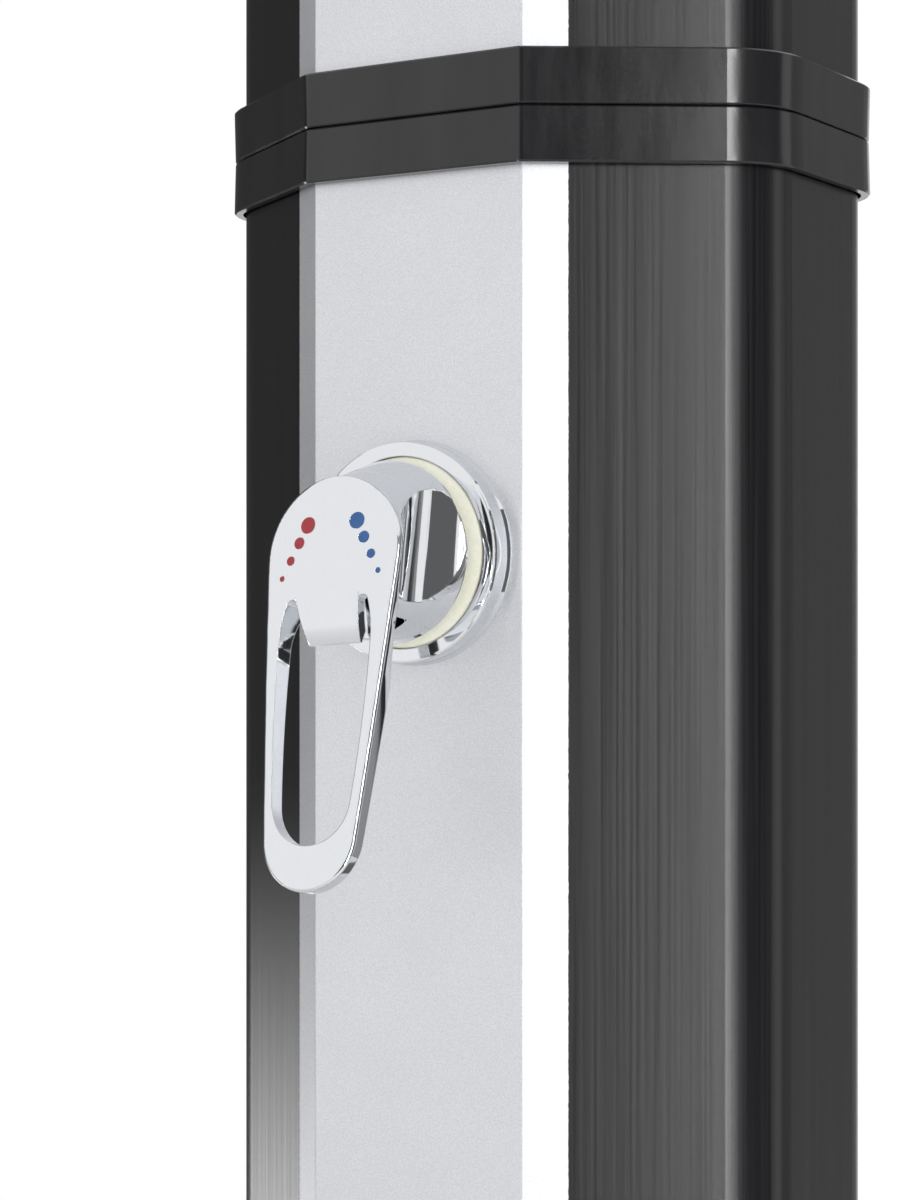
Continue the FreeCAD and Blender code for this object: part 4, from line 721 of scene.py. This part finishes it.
# %% Lamps
def softbox(name, azimuth, height, distance, size, radiance, target=(0, FRONT, 1.0)):
    """An area lamp that faces the post; azimuth is counted from the front, positive to the right."""
    turn = math.radians(azimuth)
    place = Vector((math.sin(turn) * distance, -math.cos(turn) * distance, height))
    light = bpy.data.lights.new(name, "AREA")
    light.shape = "RECTANGLE"
    light.size, light.size_y = size
    light.energy = radiance * math.pi * size[0] * size[1]
    lamp = bpy.data.objects.new(name, light)
    lamp.location = place
    lamp.rotation_euler = (Vector(target) - place).to_track_quat("-Z", "Y").to_euler()
    bpy.context.scene.collection.objects.link(lamp)
    return lamp


softbox("strip_light", 50.2, 1.0, 1.6, (0.13, 1.7), 19.0)
for fill in (
    softbox("front_left_light", -48.0, 1.5, 2.2, (1.0, 1.4), 0.7),
    softbox("camera_side_light", 30.0, 1.3, 2.4, (1.2, 1.2), 1.1),
    softbox("top_light", 10.0, 3.4, 0.6, (1.6, 1.6), 1.0),
):
    fill.visible_glossy = False


# %% [markdown]
# Mirror-bright things need something dark to mirror. Photographers stand black cards just outside
# the picture for that. These cards only show in reflections: they throw no shadow. Each glows at a set
# level instead of being lit. Most glow a dark grey. The low card at the left glows brightly and paints
# a bright reflection on the lower left of the tank, strongest towards its foot.

# %% Cards
def card(name, azimuth, low, high, distance, width, shade, fade_from=None):
    """An upright card only seen in reflections; it can brighten from dark at a height down to its foot."""
    turn = math.radians(azimuth)
    outward = Vector((math.sin(turn), -math.cos(turn), 0))
    sideways = Vector((math.cos(turn), math.sin(turn), 0)) * (width / 2)
    base = outward * distance
    corners = [base - sideways, base + sideways, base + sideways, base - sideways]
    levels = [low, low, high, high]
    points = [Vector((corner.x, corner.y, z)) for corner, z in zip(corners, levels)]
    mesh = bpy.data.meshes.new(name)
    mesh.from_pydata(points, [], [(0, 1, 2, 3)])
    material = bpy.data.materials.new(name)
    material.use_nodes = True
    tree = material.node_tree
    tree.nodes.clear()
    strength = shade
    if fade_from is not None:
        spot = put(tree, "ShaderNodeTexCoord").outputs["Object"]
        height = put(tree, "ShaderNodeSeparateXYZ", {"Vector": spot}).outputs["Z"]
        strength = put(tree, "ShaderNodeMapRange", {
            "Value": height, "From Min": fade_from, "From Max": low + 0.2,
            "To Min": 0.10, "To Max": shade}, interpolation_type="SMOOTHSTEP").outputs["Result"]
    glow = put(tree, "ShaderNodeEmission", {"Color": (1, 1, 1, 1), "Strength": strength})
    put(tree, "ShaderNodeOutputMaterial", {"Surface": glow.outputs["Emission"]})
    mesh.materials.append(material)
    made = bpy.data.objects.new(name, mesh)
    bpy.context.scene.collection.objects.link(made)
    made.visible_camera = False
    made.visible_diffuse = False
    made.visible_shadow = False
    made.visible_transmission = False
    return made


CARD_FOOT, CARD_TOP = 0.2, 1.9
card("dark_card_camera", 28.0, CARD_FOOT, CARD_TOP, 1.3, 0.72, 0.03)
card("dark_card_right", 85.0, CARD_FOOT, CARD_TOP, 1.3, 1.25, 0.13)
card("grey_card_back", 150.0, CARD_FOOT, CARD_TOP, 1.3, 1.2, 0.30)
card("grey_card_left", -100.0, CARD_FOOT, CARD_TOP, 1.2, 1.8, 0.10)
# the low card glows brightly, only in reflections: a painted bright reflection on the lower left of the tank
card("low_glow_card_left", -100.5, 0.15, 0.84, 1.19, 0.24, 5.0, fade_from=0.84)

# %% [markdown]
# The floor is a pale disc that fades into the white of the room at its rim, so the shadow of the
# foot stays and no edge shows.

# %% Floor
FLOOR_RADIUS = 2.6
floor_mesh = bpy.data.meshes.new("floor")
rim = [(FLOOR_RADIUS * math.cos(math.tau * i / 96), FLOOR_RADIUS * math.sin(math.tau * i / 96), 0)
       for i in range(96)]
floor_mesh.from_pydata(rim, [], [tuple(range(96))])
floor = bpy.data.objects.new("floor", floor_mesh)
bpy.context.scene.collection.objects.link(floor)
floor_finish, tree, shader, where = new_finish("pale_floor")
shader.inputs["Base Color"].default_value = (0.86, 0.86, 0.85, 1)
shader.inputs["Roughness"].default_value = 0.7
distance = put(tree, "ShaderNodeVectorMath", {0: where}, operation="LENGTH").outputs["Value"]
fade = put(tree, "ShaderNodeMapRange", {
    "Value": distance, "From Min": FLOOR_RADIUS * 0.45, "From Max": FLOOR_RADIUS * 0.95})
glow = put(tree, "ShaderNodeEmission", {"Color": (1, 1, 1, 1), "Strength": 1.0})
joined = put(tree, "ShaderNodeMixShader", {0: fade.outputs["Result"], 1: shader.outputs["BSDF"],
                                           2: glow.outputs["Emission"]})
out = next(node for node in tree.nodes if node.type == "OUTPUT_MATERIAL")
tree.links.new(joined.outputs["Shader"], out.inputs["Surface"])
floor_mesh.materials.append(floor_finish)
print("floor radius", FLOOR_RADIUS)

# %% [markdown]
# The picture is shown as it is, with no film look over it.

# %% Finish
bpy.context.scene.view_settings.view_transform = "Standard"
